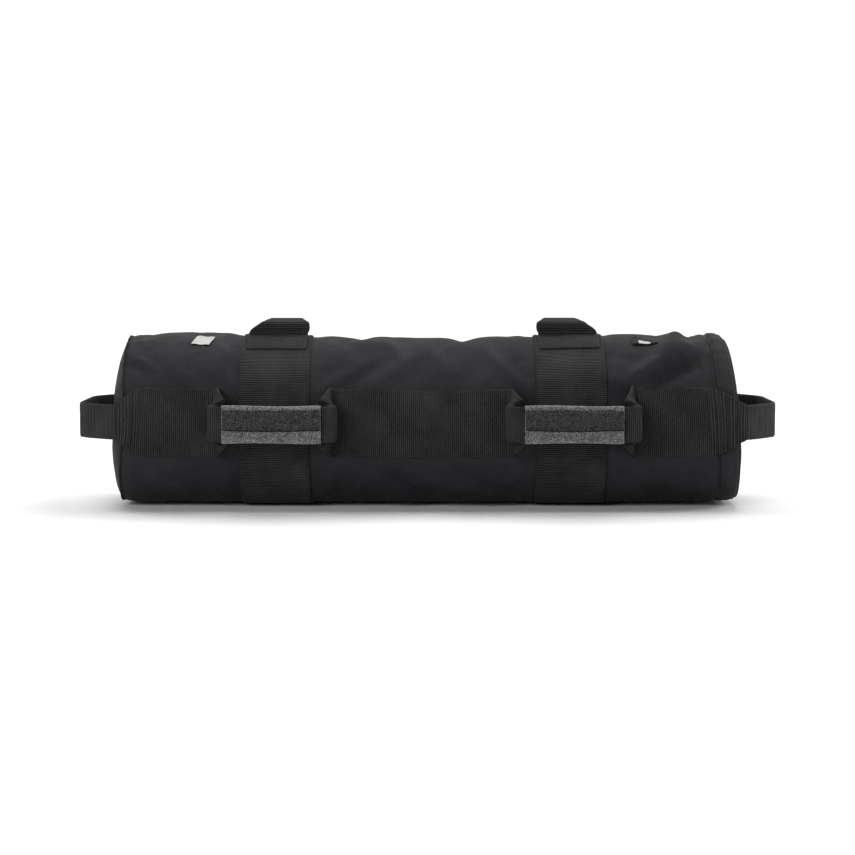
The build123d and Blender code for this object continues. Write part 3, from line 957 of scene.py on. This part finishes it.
def row_path(low, high):
    """Centreline of a row handle as (x, height over the bag) from one panel to the next."""
    reach = abs(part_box("front_handle_closed_side_wrap")[0].y) - 0.005 - RADIUS
    raise_by = [
        (0.0, 0.0011), (0.0030, 0.0030), (0.0026, 0.0080), (-0.0018, 0.0165), (-0.0040, 0.0235),
        (-0.0015, 0.0310), (0.0050, reach - 0.0012), (0.0130, reach), (0.0300, reach),
    ]
    left = [Vector((low + x, h, 0)) for x, h in raise_by]
    right = [Vector((high - x, h, 0)) for x, h in reversed(raise_by)]
    return smooth_line(left + [Vector(((low + high) / 2, reach, 0))] + right, LINE_POINTS)


def on_row(side, x, across, out):
    """The point over the bag at x, across from a row's middle line."""
    return skin(x, side * (ROW_ANGLE - math.degrees(across / RADIUS)), out)


class SANDBAG_OT_row_handles(bpy.types.Operator):
    """Four handles along the bag's sides: free webbing with its edges folded in at the grip."""

    bl_idname = "sandbag.row_handles"
    bl_label = "Row Handles"

    def execute(self, context):
        spans = {
            "closed_side": (PANELS["closed_end"][1].x, PANELS["centre"][0].x),
            "zip_side": (PANELS["centre"][1].x, PANELS["zip_end"][0].x),
        }
        for row, side in ROWS:
            for place, (low, high) in spans.items():
                self.handle(f"{row}_handle_{place}", side, low, high)
        return {"FINISHED"}

    def handle(self, name, side, low, high):
        line, length = row_path(low, high)
        root_y = side * abs(JOINTS[f"{name}_swing"]["pos_m"][1])

        def centre(u):
            here, along = sample(line, u)
            point = Vector((here.x, root_y + side * here.y, ROW_Z))
            return point, Vector((0, 0, 1)), Vector((along.y, -side * along.x, 0))

        def surface(u, across):
            here, _ = sample(line, u)
            return on_row(side, here.x, across, here.y), smooth(here.y, 0.002, 0.022)

        strap = folded_strap(
            f"{name}_strap", (120, 46), (length, WEBBING_WIDTH), centre, leg_fold,
            ((low + high) / 2, 0, AXIS_Z), surface,
        )
        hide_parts(f"{name}_webbing")
        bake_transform(strap)


class SANDBAG_OT_grips(bpy.types.Operator):
    """Hook-and-loop wraps on the four row handles, each closed by a flap."""

    bl_idname = "sandbag.grips"
    bl_label = "Grip Wraps"

    def execute(self, context):
        for row, side in ROWS:
            for place in SIDES:
                self.wrap(f"{row}_handle_{place}", side)
                self.flap(f"{row}_handle_{place}", side)
        return {"FINISHED"}

    def wrap(self, name, side):
        low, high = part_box(f"{name}_wrap")
        middle = (low + high) / 2
        half_z, half_y = (high.z - low.z) / 2, (high.y - low.y) / 2

        def place(u, v):
            y, z = rounded_rectangle(v, half_y - 0.0002, half_z - 0.0002, 0.0043)
            x = low.x + (high.x - low.x) * u
            soft = noise.noise(Vector((x * 60, y * 160, z * 60)) + Vector((side, low.x * 9, 0)))
            pinch = 1 - 0.012 * smooth(abs(u - 0.5) * 2, 0.9, 1.0)
            lift = 1 + 0.035 * soft
            wave = 0.0005 * math.sin(x * 55 + z * 40)
            return Vector((x, middle.y + y * pinch * lift, middle.z + z * pinch + wave))

        size = (high.x - low.x, 2 * (half_z + half_y) * 2)
        wrap = cloth(f"{name}_wrap_pile", (88, 90), size, place, 0.0017, middle, edge=0.0004)
        dress(wrap, "grip", name, "grip_wrap", f"{name}_wrap")

    def flap(self, name, side):
        low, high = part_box(f"{name}_flap")
        middle = Vector(((low.x + high.x) / 2, 0, ROW_Z))
        size = (high.x - low.x, high.z - low.z)
        for part, key, rows, run, out, thickness, nodes in (
            ("flap_cloth", "flap", 18, (0.0, 1.0), 0.0, 0.0011, [f"{name}_flap"]),
            # The flap's edge strip is a thin dark strip of webbing along the flap's free edge: painted shadow
            # under that edge.
            ("flap_edge", "webbing", 3, (0.955, 1.012), 0.0003, 0.0004, []),
        ):
            def place(u, v):
                return on_flap(low, high, side, u, lerp(*run, v), out)

            piece = cloth(f"{name}_{part}", (90, rows), size, place, thickness, middle, edge=thickness / 4)
            dress(piece, key, None, "grip_wrap", *nodes)
            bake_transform(piece)


def on_flap(low, high, side, along, down, out=0.0):
    """A point of a closed flap: down is 0 at its hinge and 1 at its free edge."""
    x = lerp(low.x + 0.0006, high.x - 0.0006, along)
    belly = 0.0008 * math.sin(math.pi * min(down * 1.1, 1))
    wave = 0.0006 * noise.noise(Vector((x * 45, down * 1.76, side * 3.0 + low.x)))
    tuck = 0.0012 * (1 - smooth(down, 0.0, 0.22))
    droop = 0.0012 * math.sin((x - low.x) * 30) * down
    outer = high.y if side > 0 else low.y
    depth = 0.0008 + tuck - belly * 0.5 - wave - out
    return Vector((x, outer - side * depth, lerp(high.z, low.z, down) - droop))


def rounded_rectangle(share, half_width, half_height, corner):
    """A point of a rounded rectangle's outline, share of the way round it."""
    run_w, run_h, arc = 2 * (half_width - corner), 2 * (half_height - corner), corner * math.pi / 2
    left = (share % 1.0) * (2 * (run_w + run_h) + 4 * arc)
    x, y, heading = half_width, -(half_height - corner), math.pi / 2
    for run in (run_h, run_w, run_h, run_w):
        if left <= run:
            return x + math.cos(heading) * left, y + math.sin(heading) * left
        x, y, left = x + math.cos(heading) * run, y + math.sin(heading) * run, left - run
        hub_x = x + math.cos(heading + math.pi / 2) * corner
        hub_y = y + math.sin(heading + math.pi / 2) * corner
        angle = heading - math.pi / 2 + min(left, arc) / corner
        x, y = hub_x + math.cos(angle) * corner, hub_y + math.sin(angle) * corner
        if left <= arc:
            return x, y
        left -= arc
        heading += math.pi / 2
    return x, y


class SANDBAG_OT_end_handles(bpy.types.Operator):
    """Two end handles: the rows' webbing carried round each end of the bag."""

    bl_idname = "sandbag.end_handles"
    bl_label = "End Handles"

    def execute(self, context):
        self.handle("closed_end", -1, abs(PANELS["closed_end"][0].x), abs(SEAM_X))
        self.handle("zip_end", 1, PANELS["zip_end"][1].x, LID_FACE_X)
        return {"FINISHED"}

    def handle(self, end, sign, start, corner):
        grip_low, grip_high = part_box(f"{end}_handle_grip")
        half, reach = grip_high.y, abs(grip_low.x + grip_high.x) / 2
        side_y = abs(skin(sign * start, ROW_ANGLE, 0.0011).y)
        arm = [
            (start, side_y), (start + 0.006, side_y + 0.0012), (start + 0.014, side_y + 0.0036),
            (corner + 0.001, side_y + 0.0034), (corner + 0.011, side_y - 0.0020),
            (lerp(corner, reach, 0.62), lerp(side_y, half, 0.50)),
            (reach - 0.0055, half + 0.006), (reach - 0.0012, half - 0.004), (reach, half - 0.020),
        ]
        points = [Vector((sign * x, -y, 0)) for x, y in arm] + [Vector((sign * reach, 0, 0))]
        points += [Vector((sign * x, y, 0)) for x, y in reversed(arm)]
        line, length = smooth_line(points, LINE_POINTS)

        def centre(u):
            here, along = sample(line, u)
            droop = 0.0012 * smooth(abs(here.x), start, reach)
            inward = Vector((-along.y, along.x, 0)) * sign
            return Vector((here.x, here.y, ROW_Z - droop)), Vector((0, 0, 1)), inward

        def surface(u, across):
            here, _ = sample(line, u)
            rest = on_row(-1 if here.y < 0 else 1, here.x, across, abs(here.y) - side_y + 0.0011)
            return rest, smooth(abs(here.x) - start, 0.006, 0.030)

        def fold_at(run):
            return slanted_fold(run, 0.0, corner - start + 0.006, WEBBING_WIDTH)

        name = f"{end}_handle"
        strap = folded_strap(
            f"{name}_strap", (160, 46), (length, WEBBING_WIDTH), centre, fold_at,
            (sign * start, 0, ROW_Z), surface,
        )
        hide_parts(f"{name}_legs", f"{name}_grip")
        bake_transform(strap)


TOP_JOINT = JOINTS["top_handle_zip_side_swing"]
TOP_MIDDLE = math.degrees(math.atan2(TOP_JOINT["pos_m"][1], TOP_JOINT["pos_m"][2] - AXIS_Z))
TOP_LOOP = (TOP_MIDDLE - 30.5, TOP_MIDDLE + 30.5)
TOP_FOOT = 21.0  # degrees of each sewn foot


class SANDBAG_OT_top_handles(bpy.types.Operator):
    """Two handles on top of the bag, each a loop of webbing with two sewn feet."""

    bl_idname = "sandbag.top_handles"
    bl_label = "Top Handles"

    def execute(self, context):
        self.handle("closed_side", 0.008)
        self.handle("zip_side", -0.008)
        return {"FINISHED"}

    def handle(self, side, lean):
        name = f"top_handle_{side}"
        low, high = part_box(f"{name}_feet")
        x, width = (low.x + high.x) / 2, high.x - low.x
        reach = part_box(f"{name}_grip")[1].z - 0.0045 - AXIS_Z - RADIUS
        foot = 2 * WEBBING - 0.0010
        first, last = TOP_LOOP
        climb = [
            (0.0, foot), (0.6, foot + 0.0012), (0.9, foot + 0.0050), (1.1, foot + 0.0095),
            (2.0, foot + 0.0135), (4.2, reach - 0.0022), (8.5, reach - 0.0004), (18.0, reach + 0.0002),
        ]
        scale = (RADIUS + reach) * math.radians(1)
        left = [Vector((scale * (first + a), h, 0)) for a, h in climb]
        right = [Vector((scale * (last - a), h, 0)) for a, h in reversed(climb)]
        crown = [Vector((scale * TOP_MIDDLE, reach - 0.0004, 0))]
        heights, length = smooth_line(left + crown + right, LINE_POINTS)

        def over_bag(point):
            angle = point.x / scale
            turn = math.radians(angle)
            ray = Vector((0, math.sin(turn), math.cos(turn)))
            sag = skin(x, angle, 0.0, lift=0.0).z - AXIS_Z - RADIUS * ray.z
            return Vector((x, 0, AXIS_Z + sag)) + ray * (RADIUS + point.y)

        line = [over_bag(point) for point in heights]

        def centre(u):
            here, along = sample(line, u)
            inward = along.cross(Vector((1, 0, 0))).normalized()
            if inward.dot(here - Vector((x, 0, AXIS_Z))) > 0 and 0.25 < u < 0.75:
                inward = -inward
            tipped = lean * smooth(sample(heights, u)[0].y, foot, reach)
            return here + Vector((tipped, 0, 0)), Vector((1, 0, 0)), inward

        def fold_at(run):
            return slanted_fold(run, 0.003, 0.028, width)

        strap = folded_strap(f"{name}_strap", (130, 42), (length, width), centre, fold_at, (x, 0, AXIS_Z))
        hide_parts(f"{name}_legs", f"{name}_grip")
        turn = math.radians(TOP_MIDDLE)
        pivot = Vector(JOINTS[f"{name}_swing"]["pos_m"])
        drop = RADIUS * (1 - math.cos(math.radians((last - first) / 2)))
        rise = Vector((0, math.sin(turn), math.cos(turn))) * (reach - 0.010 - 0.5 * drop)
        pivot + rise
        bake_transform(strap)
        for place, angles, nodes in (
            ("front", (first - TOP_FOOT, first + 0.2), [f"{name}_feet"]),
            ("back", (last - 0.2, last + TOP_FOOT), []),
        ):
            piece = strip_on_bag(f"top_{place}_foot_{side}", (low.x, high.x), angles, 2 * WEBBING, (20, 24))
            dress(piece, "webbing", "root", "webbing", *nodes)


# ---- Lid, zip and inner bag ----


def on_rim(u, angle, out=0.0):
    """A point of the lid's side: u is 0 at the zip and 1 at the face."""
    lift = 0.0022 * math.sin(math.pi * u) ** 0.7 - 0.0016 * (1 - smooth(u, 0, 0.25))
    lift -= 0.0022 * smooth(u, 0.86, 1.0)
    turn = math.radians(angle)
    lift += 0.0005 * math.sin(turn * 33 + math.sin(turn * 9)) * (1 - u)
    height = -0.0012 + lift * (1 - smooth(abs(angle), 140, 156)) + out
    return skin(lerp(RIM_START_X - 0.0009, LID_FACE_X, u), angle, height, lift=0.0)


def fold_lid(piece):
    """Bakes a piece of the lid's transform into its mesh."""
    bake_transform(piece)


class SANDBAG_OT_lid(bpy.types.Operator):
    """Round zipped lid: its side, its panel and the binding at its edge."""

    bl_idname = "sandbag.lid"
    bl_label = "Lid"

    def execute(self, context):
        def rim(u, v):
            return on_rim(u, 360 * v - 180)

        def panel(u, v):
            share = 1 - u
            point = end_surface(1, share, 360 * v - 180, LID_PEAK_X - LID_FACE_X - 0.0004)
            inset = 0.0035 * smooth(share, 0.9, 1.0)
            hub = Vector((point.x, 0, AXIS_Z))
            return point + (hub - point).normalized() * inset if share > 0.01 else point

        def edge(u, v):
            turn = 2 * math.pi * u
            along, out = 0.0016 * math.cos(turn), 0.0012 * math.sin(turn)
            return skin(LID_FACE_X - 0.0010 + along, 360 * v - 180, out - 0.0026, lift=0.0)

        depth = LID_FACE_X - RIM_START_X
        for name, cells, size, place, thickness, facing, nodes in (
            ("lid_rim_cloth", (14, 200), (depth, GIRTH), rim, 0.0014, None, ("lid_rim", "lid_lower_rim")),
            ("lid_panel_cloth", (34, 200), (RADIUS, GIRTH), panel, 0.0014, AXIS_POINT,
             ("lid_panel", "lid_lower_panel")),
            ("lid_edge_binding", (8, 220), (0.009, 0.6), edge, 0.0, None, ()),
        ):
            piece = cloth(name, cells, size, place, thickness, facing)
            fold_lid(dress(piece, "lid", None, "shell_fabric", *nodes))
        return {"FINISHED"}


class SANDBAG_OT_zip(bpy.types.Operator):
    """Zip between the shell and the lid: two tapes, two rows of coil, slider and pull."""

    bl_idname = "sandbag.zip"
    bl_label = "Zip"

    def execute(self, context):
        for half, reach, offset, phase, nodes in (
            ("shell", (-0.0125, -0.0009), -0.0006, 0.0, ("zip_shell_half",)),
            ("lid", (0.0009, 0.0100), 0.0006, 0.5, ("zip_lid_half", "zip_lid_half_lower")),
        ):
            def tape(u, v):
                angle = lerp(-ZIP_ARC_END, ZIP_ARC_END, v)
                return skin(ZIP_X + lerp(*reach, u), angle, -0.0026, lift=0.0)

            body = None if half == "lid" else "root"
            strip = cloth(f"zip_{half}_tape", (4, 180), (0.012, 0.5), tape, 0.0007)
            dress(strip, "tape", body, "zip", *nodes)
            coil = dress(self.coil(f"zip_{half}_coil", offset, phase), "coil", body, "zip")
            if half == "lid":
                fold_lid(strip)
                fold_lid(coil)
        for part in ("zip_stops", "zip_slider", "zip_pull"):
            recolour(part, "metal")
        return {"FINISHED"}

    def coil(self, name, offset, phase):
        pitch = math.degrees(0.0021 / RADIUS)
        tooth = Matrix.Diagonal((0.0014, 0.00042, 0.0008, 1.0))
        places = []
        for index in range(int(2 * ZIP_ARC_END / pitch)):
            angle = -ZIP_ARC_END + (index + 0.5 + phase) * pitch
            point = skin(ZIP_X + offset, angle, -0.0015, lift=0.0)
            turn = Matrix.Rotation(-math.radians(angle), 4, "X")
            places.append(Matrix.Translation(point) @ turn @ tooth)
        return beads(name, places)


class SANDBAG_OT_inner_bag(bpy.types.Operator):
    """Inner bag with its sand, folded neck and pull loop, seen when the lid is folded out."""

    bl_idname = "sandbag.inner_bag"
    bl_label = "Inner Bag"

    def execute(self, context):
        inset = RADIUS - FILLER_HIGH.y
        low, high = FILLER_LOW.x, FILLER_HIGH.x

        def inside(x, angle, depth):
            """The bag's cloth drawn in by depth, with its valleys but not its folds."""
            return skin(x, angle, -inset - depth, lift=min(relief(x, angle), 0))

        def tube(u, v):
            x, angle = lerp(low, high, u), 360 * v - 180
            shrink = 0.004 * (1 - smooth(u, 0, 0.02)) + 0.006 * smooth(u, 0.975, 1.0)
            crease = 0.0015 * noise.noise(Vector((x * 40, math.radians(angle) * 3, 4)))
            return inside(x, angle, 0.002 + shrink - crease)

        bag = cloth("filler_bag_tube", (110, 110), (high - low, 0.6), tube, 0.0008)
        dress(bag, "filler", "root", "filler_fabric", "filler_bag")
        for name, side, x, depth, dish in (
            ("filler_bag_end_closed", -1, low, 0.006, 0.002), ("filler_bag_end_zip", 1, high, 0.008, -0.004),
        ):
            def cap(u, v):
                share, angle = 1 - u, 360 * v - 180
                edge = inside(x, angle, depth)
                point = Vector((edge.x, 0, AXIS_Z - 0.004)).lerp(edge, share)
                turn = math.radians(angle)
                ray = 0.0022 * math.sin(turn * 14 + 2 * math.sin(turn * 3)) * math.sin(math.pi * share) ** 0.8
                crumple = 0.0022 * noise.noise(Vector((point.y * 30, point.z * 30, 9)))
                # The zip end is dished, to stay behind the neck that hangs in front of it.
                point.x += side * (dish * (1 - share**3) + (ray + crumple) * 0.7)
                return point

            end = cloth(name, (30, 110), (RADIUS, 0.6), cap, 0.0008, AXIS_POINT)
            dress(end, "filler", "root", "filler_fabric")

        def sand(u, v):
            end_in = 0.03 * (1 - smooth(u, 0, 0.03)) + 0.03 * smooth(u, 0.97, 1.0)
            return inside(lerp(low + 0.006, high - 0.014, u), 360 * v - 180, 0.006 + end_in)

        fill = cloth("sand_body", (70, 70), (high - low, 0.6), sand)
        mesh = bmesh.new()
        mesh.from_mesh(fill.data)
        bmesh.ops.holes_fill(mesh, edges=[edge for edge in mesh.edges if edge.is_boundary])
        mesh.to_mesh(fill.data)
        mesh.free()
        dress(face_out(fill), "sand", "root", "sand", "sand_fill")
        self.neck()
        self.closure()
        return {"FINISHED"}

    def neck(self):
        low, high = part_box("filler_neck")
        width, top = high.y - low.y, high.z
        path = [
            Vector((low.x - 0.0002, top - 0.0040)), Vector((low.x + 0.0015, top - 0.0012)),
            Vector((low.x + 0.0050, top - 0.0006)), Vector((high.x - 0.0012, top - 0.0036)),
            Vector((high.x - 0.0012, top - 0.0250)), Vector((high.x - 0.0018, low.z + 0.0008)),
        ]

        def fold(u, v):
            y = lerp(low.y, high.y, v)
            rumple = 0.0010 * noise.noise(Vector((y * 45, u * 6, 2)))
            at = u * (len(path) - 1)
            index = min(int(at), len(path) - 2)
            point = path[index].lerp(path[index + 1], at - index)
            sag = 0.0025 * (abs(y) / (width / 2)) ** 2
            return Vector((point.x + rumple, y, point.y - sag * (1 - u)))

        behind = (low.x - 0.05, 0, AXIS_Z)
        neck = cloth("filler_neck_cloth", (60, 60), (width, 0.09), fold, 0.0012, behind)
        dress(neck, "filler", "root", "filler_fabric", "filler_neck")

    def closure(self):
        """Hook and loop strips, and the pull loop crosswise between them."""
        for name in ("filler_hook_strip", "filler_loop_strip"):
            low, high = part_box(name)

            def strip(u, v):
                return Vector((high.x - 0.0002, lerp(low.y, high.y, u), lerp(low.z, high.z, v)))

            size = (high.y - low.y, 0.025)
            piece = cloth(f"{name}_pile", (60, 14), size, strip, 0.0010, AXIS_POINT, edge=0.0002)
            dress(piece, "hooks", "root", "closure_strip", name)
        low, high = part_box("filler_pull_loop")

        def loop(u, v):
            bow = math.sin(math.pi * u) ** 0.8
            x = low.x + 0.0012 + (high.x - low.x - 0.0030) * bow
            return Vector((x, lerp(low.y, high.y, u), lerp(low.z, high.z, v)))

        piece = cloth("filler_pull_strap", (50, 14), (0.05, 0.025), loop, 0.0016, AXIS_POINT, edge=0.0003)
        dress(piece, "webbing", "root", "webbing", "filler_pull_loop")


# ---- Labels and stitching ----


class SANDBAG_OT_labels(bpy.types.Operator):
    """A blank woven label, and a webbing tab with a small blank patch."""

    bl_idname = "sandbag.labels"
    bl_label = "Labels"

    def execute(self, context):
        for name, node, kind, thickness, out, curl, slant in (
            ("woven_label_cloth", "woven_label", "label", 0.0006, 0.0009, 0.0012, 0.005),
            ("loop_tab_webbing", "loop_tab", "webbing", 0.0018, 0.0016, 0.0010, 0.0),
            ("loop_tab_patch_cloth", "loop_tab_patch", "label", 0.0005, 0.0023, 0.0004, 0.0),
        ):
            low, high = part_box(node)
            first, last = (math.degrees(math.asin(y / RADIUS)) for y in (low.y, high.y))

            def place(u, v):
                x, angle = lerp(low.x, high.x, u), lerp(first, last, v)
                edge = max(abs(u - 0.5), abs(v - 0.5)) * 2
                wave = 0.0005 * noise.noise(Vector((x * 90, angle * 0.2, 6)))
                lift = curl * smooth(edge, 0.7, 1.0) * (0.6 + 0.4 * math.sin(u * 9))
                return skin(x + slant * v, angle - 300 * slant * u, out + lift + wave)

            size = (high.x - low.x, high.y - low.y)
            piece = cloth(name, (30, 26), size, place, thickness, edge=0.0001)
            dress(piece, kind, "root", kind, node)
        return {"FINISHED"}


def on_bag(out, x, angle):
    """The point of the bag just over a layer of cloth, and the way out from it."""
    return skin(x, angle, out + 0.0001), skin_normal(x, angle, out)


def on_lid(u, angle):
    """The point of the lid's side just over its cloth, and the way out from it."""
    return on_rim(u, angle, 0.0002), skin_normal(RIM_START_X, angle)


def sewn_strip(out, x_range, angles, box=None):
    """Stitching of a strip on the bag: a crossed box over all of it, or one of length box at each end."""
    inset = sizes().stitch_inset
    low, high = x_range
    a, b = angles[0] + math.degrees(inset / RADIUS), angles[1] - math.degrees(inset / RADIUS)
    height = math.radians(angles[1] - angles[0]) * RADIUS - 2 * inset
    surface = partial(on_bag, out)
    rows = []
    spans = [(low + inset, low + box), (high - box, high - inset)] if box else [(low + inset, high - inset)]
    for x0, x1 in spans:
        rows += boxed_cross(surface, (x0, a), (x1, b), x1 - x0, height)
    if box:
        ends = (low + box, high - box)
        rows += [stitch_row(surface, (ends[0], t), (ends[1], t), ends[1] - ends[0]) for t in (a, b)]
    return rows


class SANDBAG_OT_stitching(bpy.types.Operator):
    """Stitching of the panels, bands, feet, grips and lid."""

    bl_idname = "sandbag.stitching"
    bl_label = "Stitching"

    def execute(self, context):
        rows = []
        for _, side in ROWS:
            edges = (side * ROW_ANGLE - ROW_HALF_ARC, side * ROW_ANGLE + ROW_HALF_ARC)
            for place, (low, high) in PANELS.items():
                box = 0.030 if place == "centre" else None
                rows += sewn_strip(WEBBING, (low.x, high.x), edges, box)
        in_band = sizes().stitch_inset * 0.7
        for low, high in BANDS.values():
            for x in (low.x + in_band, high.x - in_band):
                rows.append(stitch_row(partial(on_bag, WEBBING), (x, -178), (x, 178), GIRTH))
        first, last = TOP_LOOP
        for side in SIDES:
            low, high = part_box(f"top_handle_{side}_feet")
            for angles in ((first - TOP_FOOT, first), (last, last + TOP_FOOT)):
                rows += sewn_strip(2 * WEBBING, (low.x, high.x), angles)
        dress(stitches("bag_stitching", rows), "thread", "root", "webbing")
        rings = [stitch_row(on_lid, (u, -178), (u, 178), GIRTH) for u in (0.24, 0.78)]
        fold_lid(dress(stitches("lid_stitching", rings), "thread", None, "webbing"))
        for row, side in ROWS:
            for place in SIDES:
                name = f"{row}_handle_{place}"
                low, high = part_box(f"{name}_flap")

                def sewn(u, v):
                    return on_flap(low, high, side, u, v, 0.0001), Vector((0, side, 0))

                edge = stitch_row(sewn, (0.02, 0.86), (0.98, 0.86), high.x - low.x)
                piece = stitches(f"{name}_flap_stitching", [edge])
                dress(piece, "thread", f"{name}_flap", "grip_wrap")
        return {"FINISHED"}


# ---- Stage ----

WHITE = (1, 1, 1, 1)
PALE = (0.86, 0.86, 0.86, 1)
BLACK = (0, 0, 0, 1)


class SANDBAG_OT_stage(bpy.types.Operator):
    """Camera, lights, floor and backdrop."""

    bl_idname = "sandbag.stage"
    bl_label = "Stage"

    def execute(self, context):
        self.camera(context.scene)
        self.surroundings(context.scene)
        self.floor_and_backdrop()
        for name, size, place, aim, power in (
            ("overhead_softbox", (2.4, 1.3), (0.0, 0.30, 1.6), (0, 0.1, 0), 31.0),
            ("front_softbox", (1.4, 0.9), (-1.2, -2.0, 0.9), (0, 0, 0.1), 33.0),
            ("right_softbox", (0.5, 0.7), (1.5, 0.1, 0.7), (0.34, 0, 0.1), 9.0),
        ):
            data = bpy.data.lights.new(name, "AREA")
            data.shape = "RECTANGLE"
            data.size, data.size_y = size
            data.energy = power
            light = bpy.data.objects.new(name, data)
            light.location = place
            light.rotation_euler = (Vector(aim) - Vector(place)).to_track_quat("-Z", "Y").to_euler()
            context.scene.collection.objects.link(light)
        return {"FINISHED"}

    def camera(self, scene):
        data = bpy.data.cameras.new("camera")
        data.lens, data.sensor_width = 89.3, 36
        data.clip_start, data.clip_end = 0.1, 40
        camera = bpy.data.objects.new("camera", data)
        tilt, distance = math.radians(5), 2.4
        aim = Vector((0.0, 0.0, AXIS_Z - 0.0066))
        camera.location = aim + Vector((0, -math.cos(tilt), math.sin(tilt))) * distance
        camera.rotation_euler = (math.radians(90) - tilt, 0, 0)
        scene.camera = camera
        scene.collection.objects.link(camera)

    def surroundings(self, scene):
        """White all round to look at, and a dim light on the bag."""
        scene.view_settings.view_transform = "Standard"
        world = bpy.data.worlds.new("studio")
        world.use_nodes = True
        nodes, links = world.node_tree.nodes, world.node_tree.links
        dim, white = nodes["Background"], nodes.new("ShaderNodeBackground")
        for background, strength in ((dim, 0.06), (white, 1.0)):
            background.inputs["Color"].default_value = WHITE
            background.inputs["Strength"].default_value = strength
        choice = nodes.new("ShaderNodeMixShader")
        links.new(nodes.new("ShaderNodeLightPath").outputs["Is Camera Ray"], choice.inputs[0])
        links.new(dim.outputs[0], choice.inputs[1])
        links.new(white.outputs[0], choice.inputs[2])
        links.new(choice.outputs[0], nodes["World Output"].inputs["Surface"])
        scene.world = world

    def floor_and_backdrop(self):
        """A pale floor that glows far from the bag, and a glowing backdrop that is clear from behind."""
        paper = Finish("studio_floor", base_color=PALE, roughness=0.9, specular_ior_level=0.1)
        place = paper.coordinates("Object")
        x, y = paper.split(place, 0), paper.split(place, 1)
        far = (x * x + y * y).above(1.6, 1.1)
        paper.feed(emission_color=paper.blend(far, BLACK, WHITE))
        paper.shader.inputs["Emission Strength"].default_value = 0.8
        glow = Finish("studio_backdrop", base_color=BLACK, emission_color=WHITE, emission_strength=1.1)
        glow.feed(alpha=1 - glow.node("ShaderNodeNewGeometry", output="Backfacing"))
        for name, size, place, tilt, finish in (
            ("floor", (14, 14), (0, 0, -0.0006), 0, paper),
            ("backdrop", (8, 3), (0, 1.25, 1.4994), math.radians(90), glow),
        ):
            mesh = bmesh.new()
            bmesh.ops.create_grid(mesh, x_segments=1, y_segments=1, size=0.5)
            bmesh.ops.scale(mesh, vec=(*size, 1), verts=mesh.verts)
            sheet = new_object(name, mesh)
            sheet.location, sheet.rotation_euler = place, (tilt, 0, 0)
            sheet.data.materials.append(finish.material)


# ---- Panel and registration ----


OPERATORS = (
    SANDBAG_OT_shell, SANDBAG_OT_closed_end, SANDBAG_OT_bands, SANDBAG_OT_panels, SANDBAG_OT_row_handles,
    SANDBAG_OT_grips, SANDBAG_OT_end_handles, SANDBAG_OT_top_handles, SANDBAG_OT_lid, SANDBAG_OT_zip,
    SANDBAG_OT_inner_bag, SANDBAG_OT_labels, SANDBAG_OT_stitching, SANDBAG_OT_stage,
)


class SANDBAG_PT_panel(bpy.types.Panel):
    """Sidebar panel with the bag's settings and steps."""

    bl_label = "Sandbag"
    bl_idname = "SANDBAG_PT_panel"
    bl_space_type = "VIEW_3D"
    bl_region_type = "UI"
    bl_category = "Sandbag"

    def draw(self, context):
        for settings in (context.scene.sandbag_look, context.scene.sandbag_sizes):
            for key in settings.bl_rna.properties.keys():
                if key not in ("rna_type", "name"):
                    self.layout.prop(settings, key)
        for operator in OPERATORS:
            self.layout.operator(operator.bl_idname)


CLASSES = (SandbagLook, SandbagSizes, *OPERATORS, SANDBAG_PT_panel)


def register():
    for cls in CLASSES:
        bpy.utils.register_class(cls)
    bpy.types.Scene.sandbag_look = bpy.props.PointerProperty(type=SandbagLook)
    bpy.types.Scene.sandbag_sizes = bpy.props.PointerProperty(type=SandbagSizes)


def unregister():
    del bpy.types.Scene.sandbag_sizes
    del bpy.types.Scene.sandbag_look
    for cls in reversed(CLASSES):
        bpy.utils.unregister_class(cls)


def main():
    register()
    for operator in OPERATORS:
        name = operator.bl_idname.split(".")[1]
        getattr(bpy.ops.sandbag, name)()


if __name__ == "__main__":
    main()
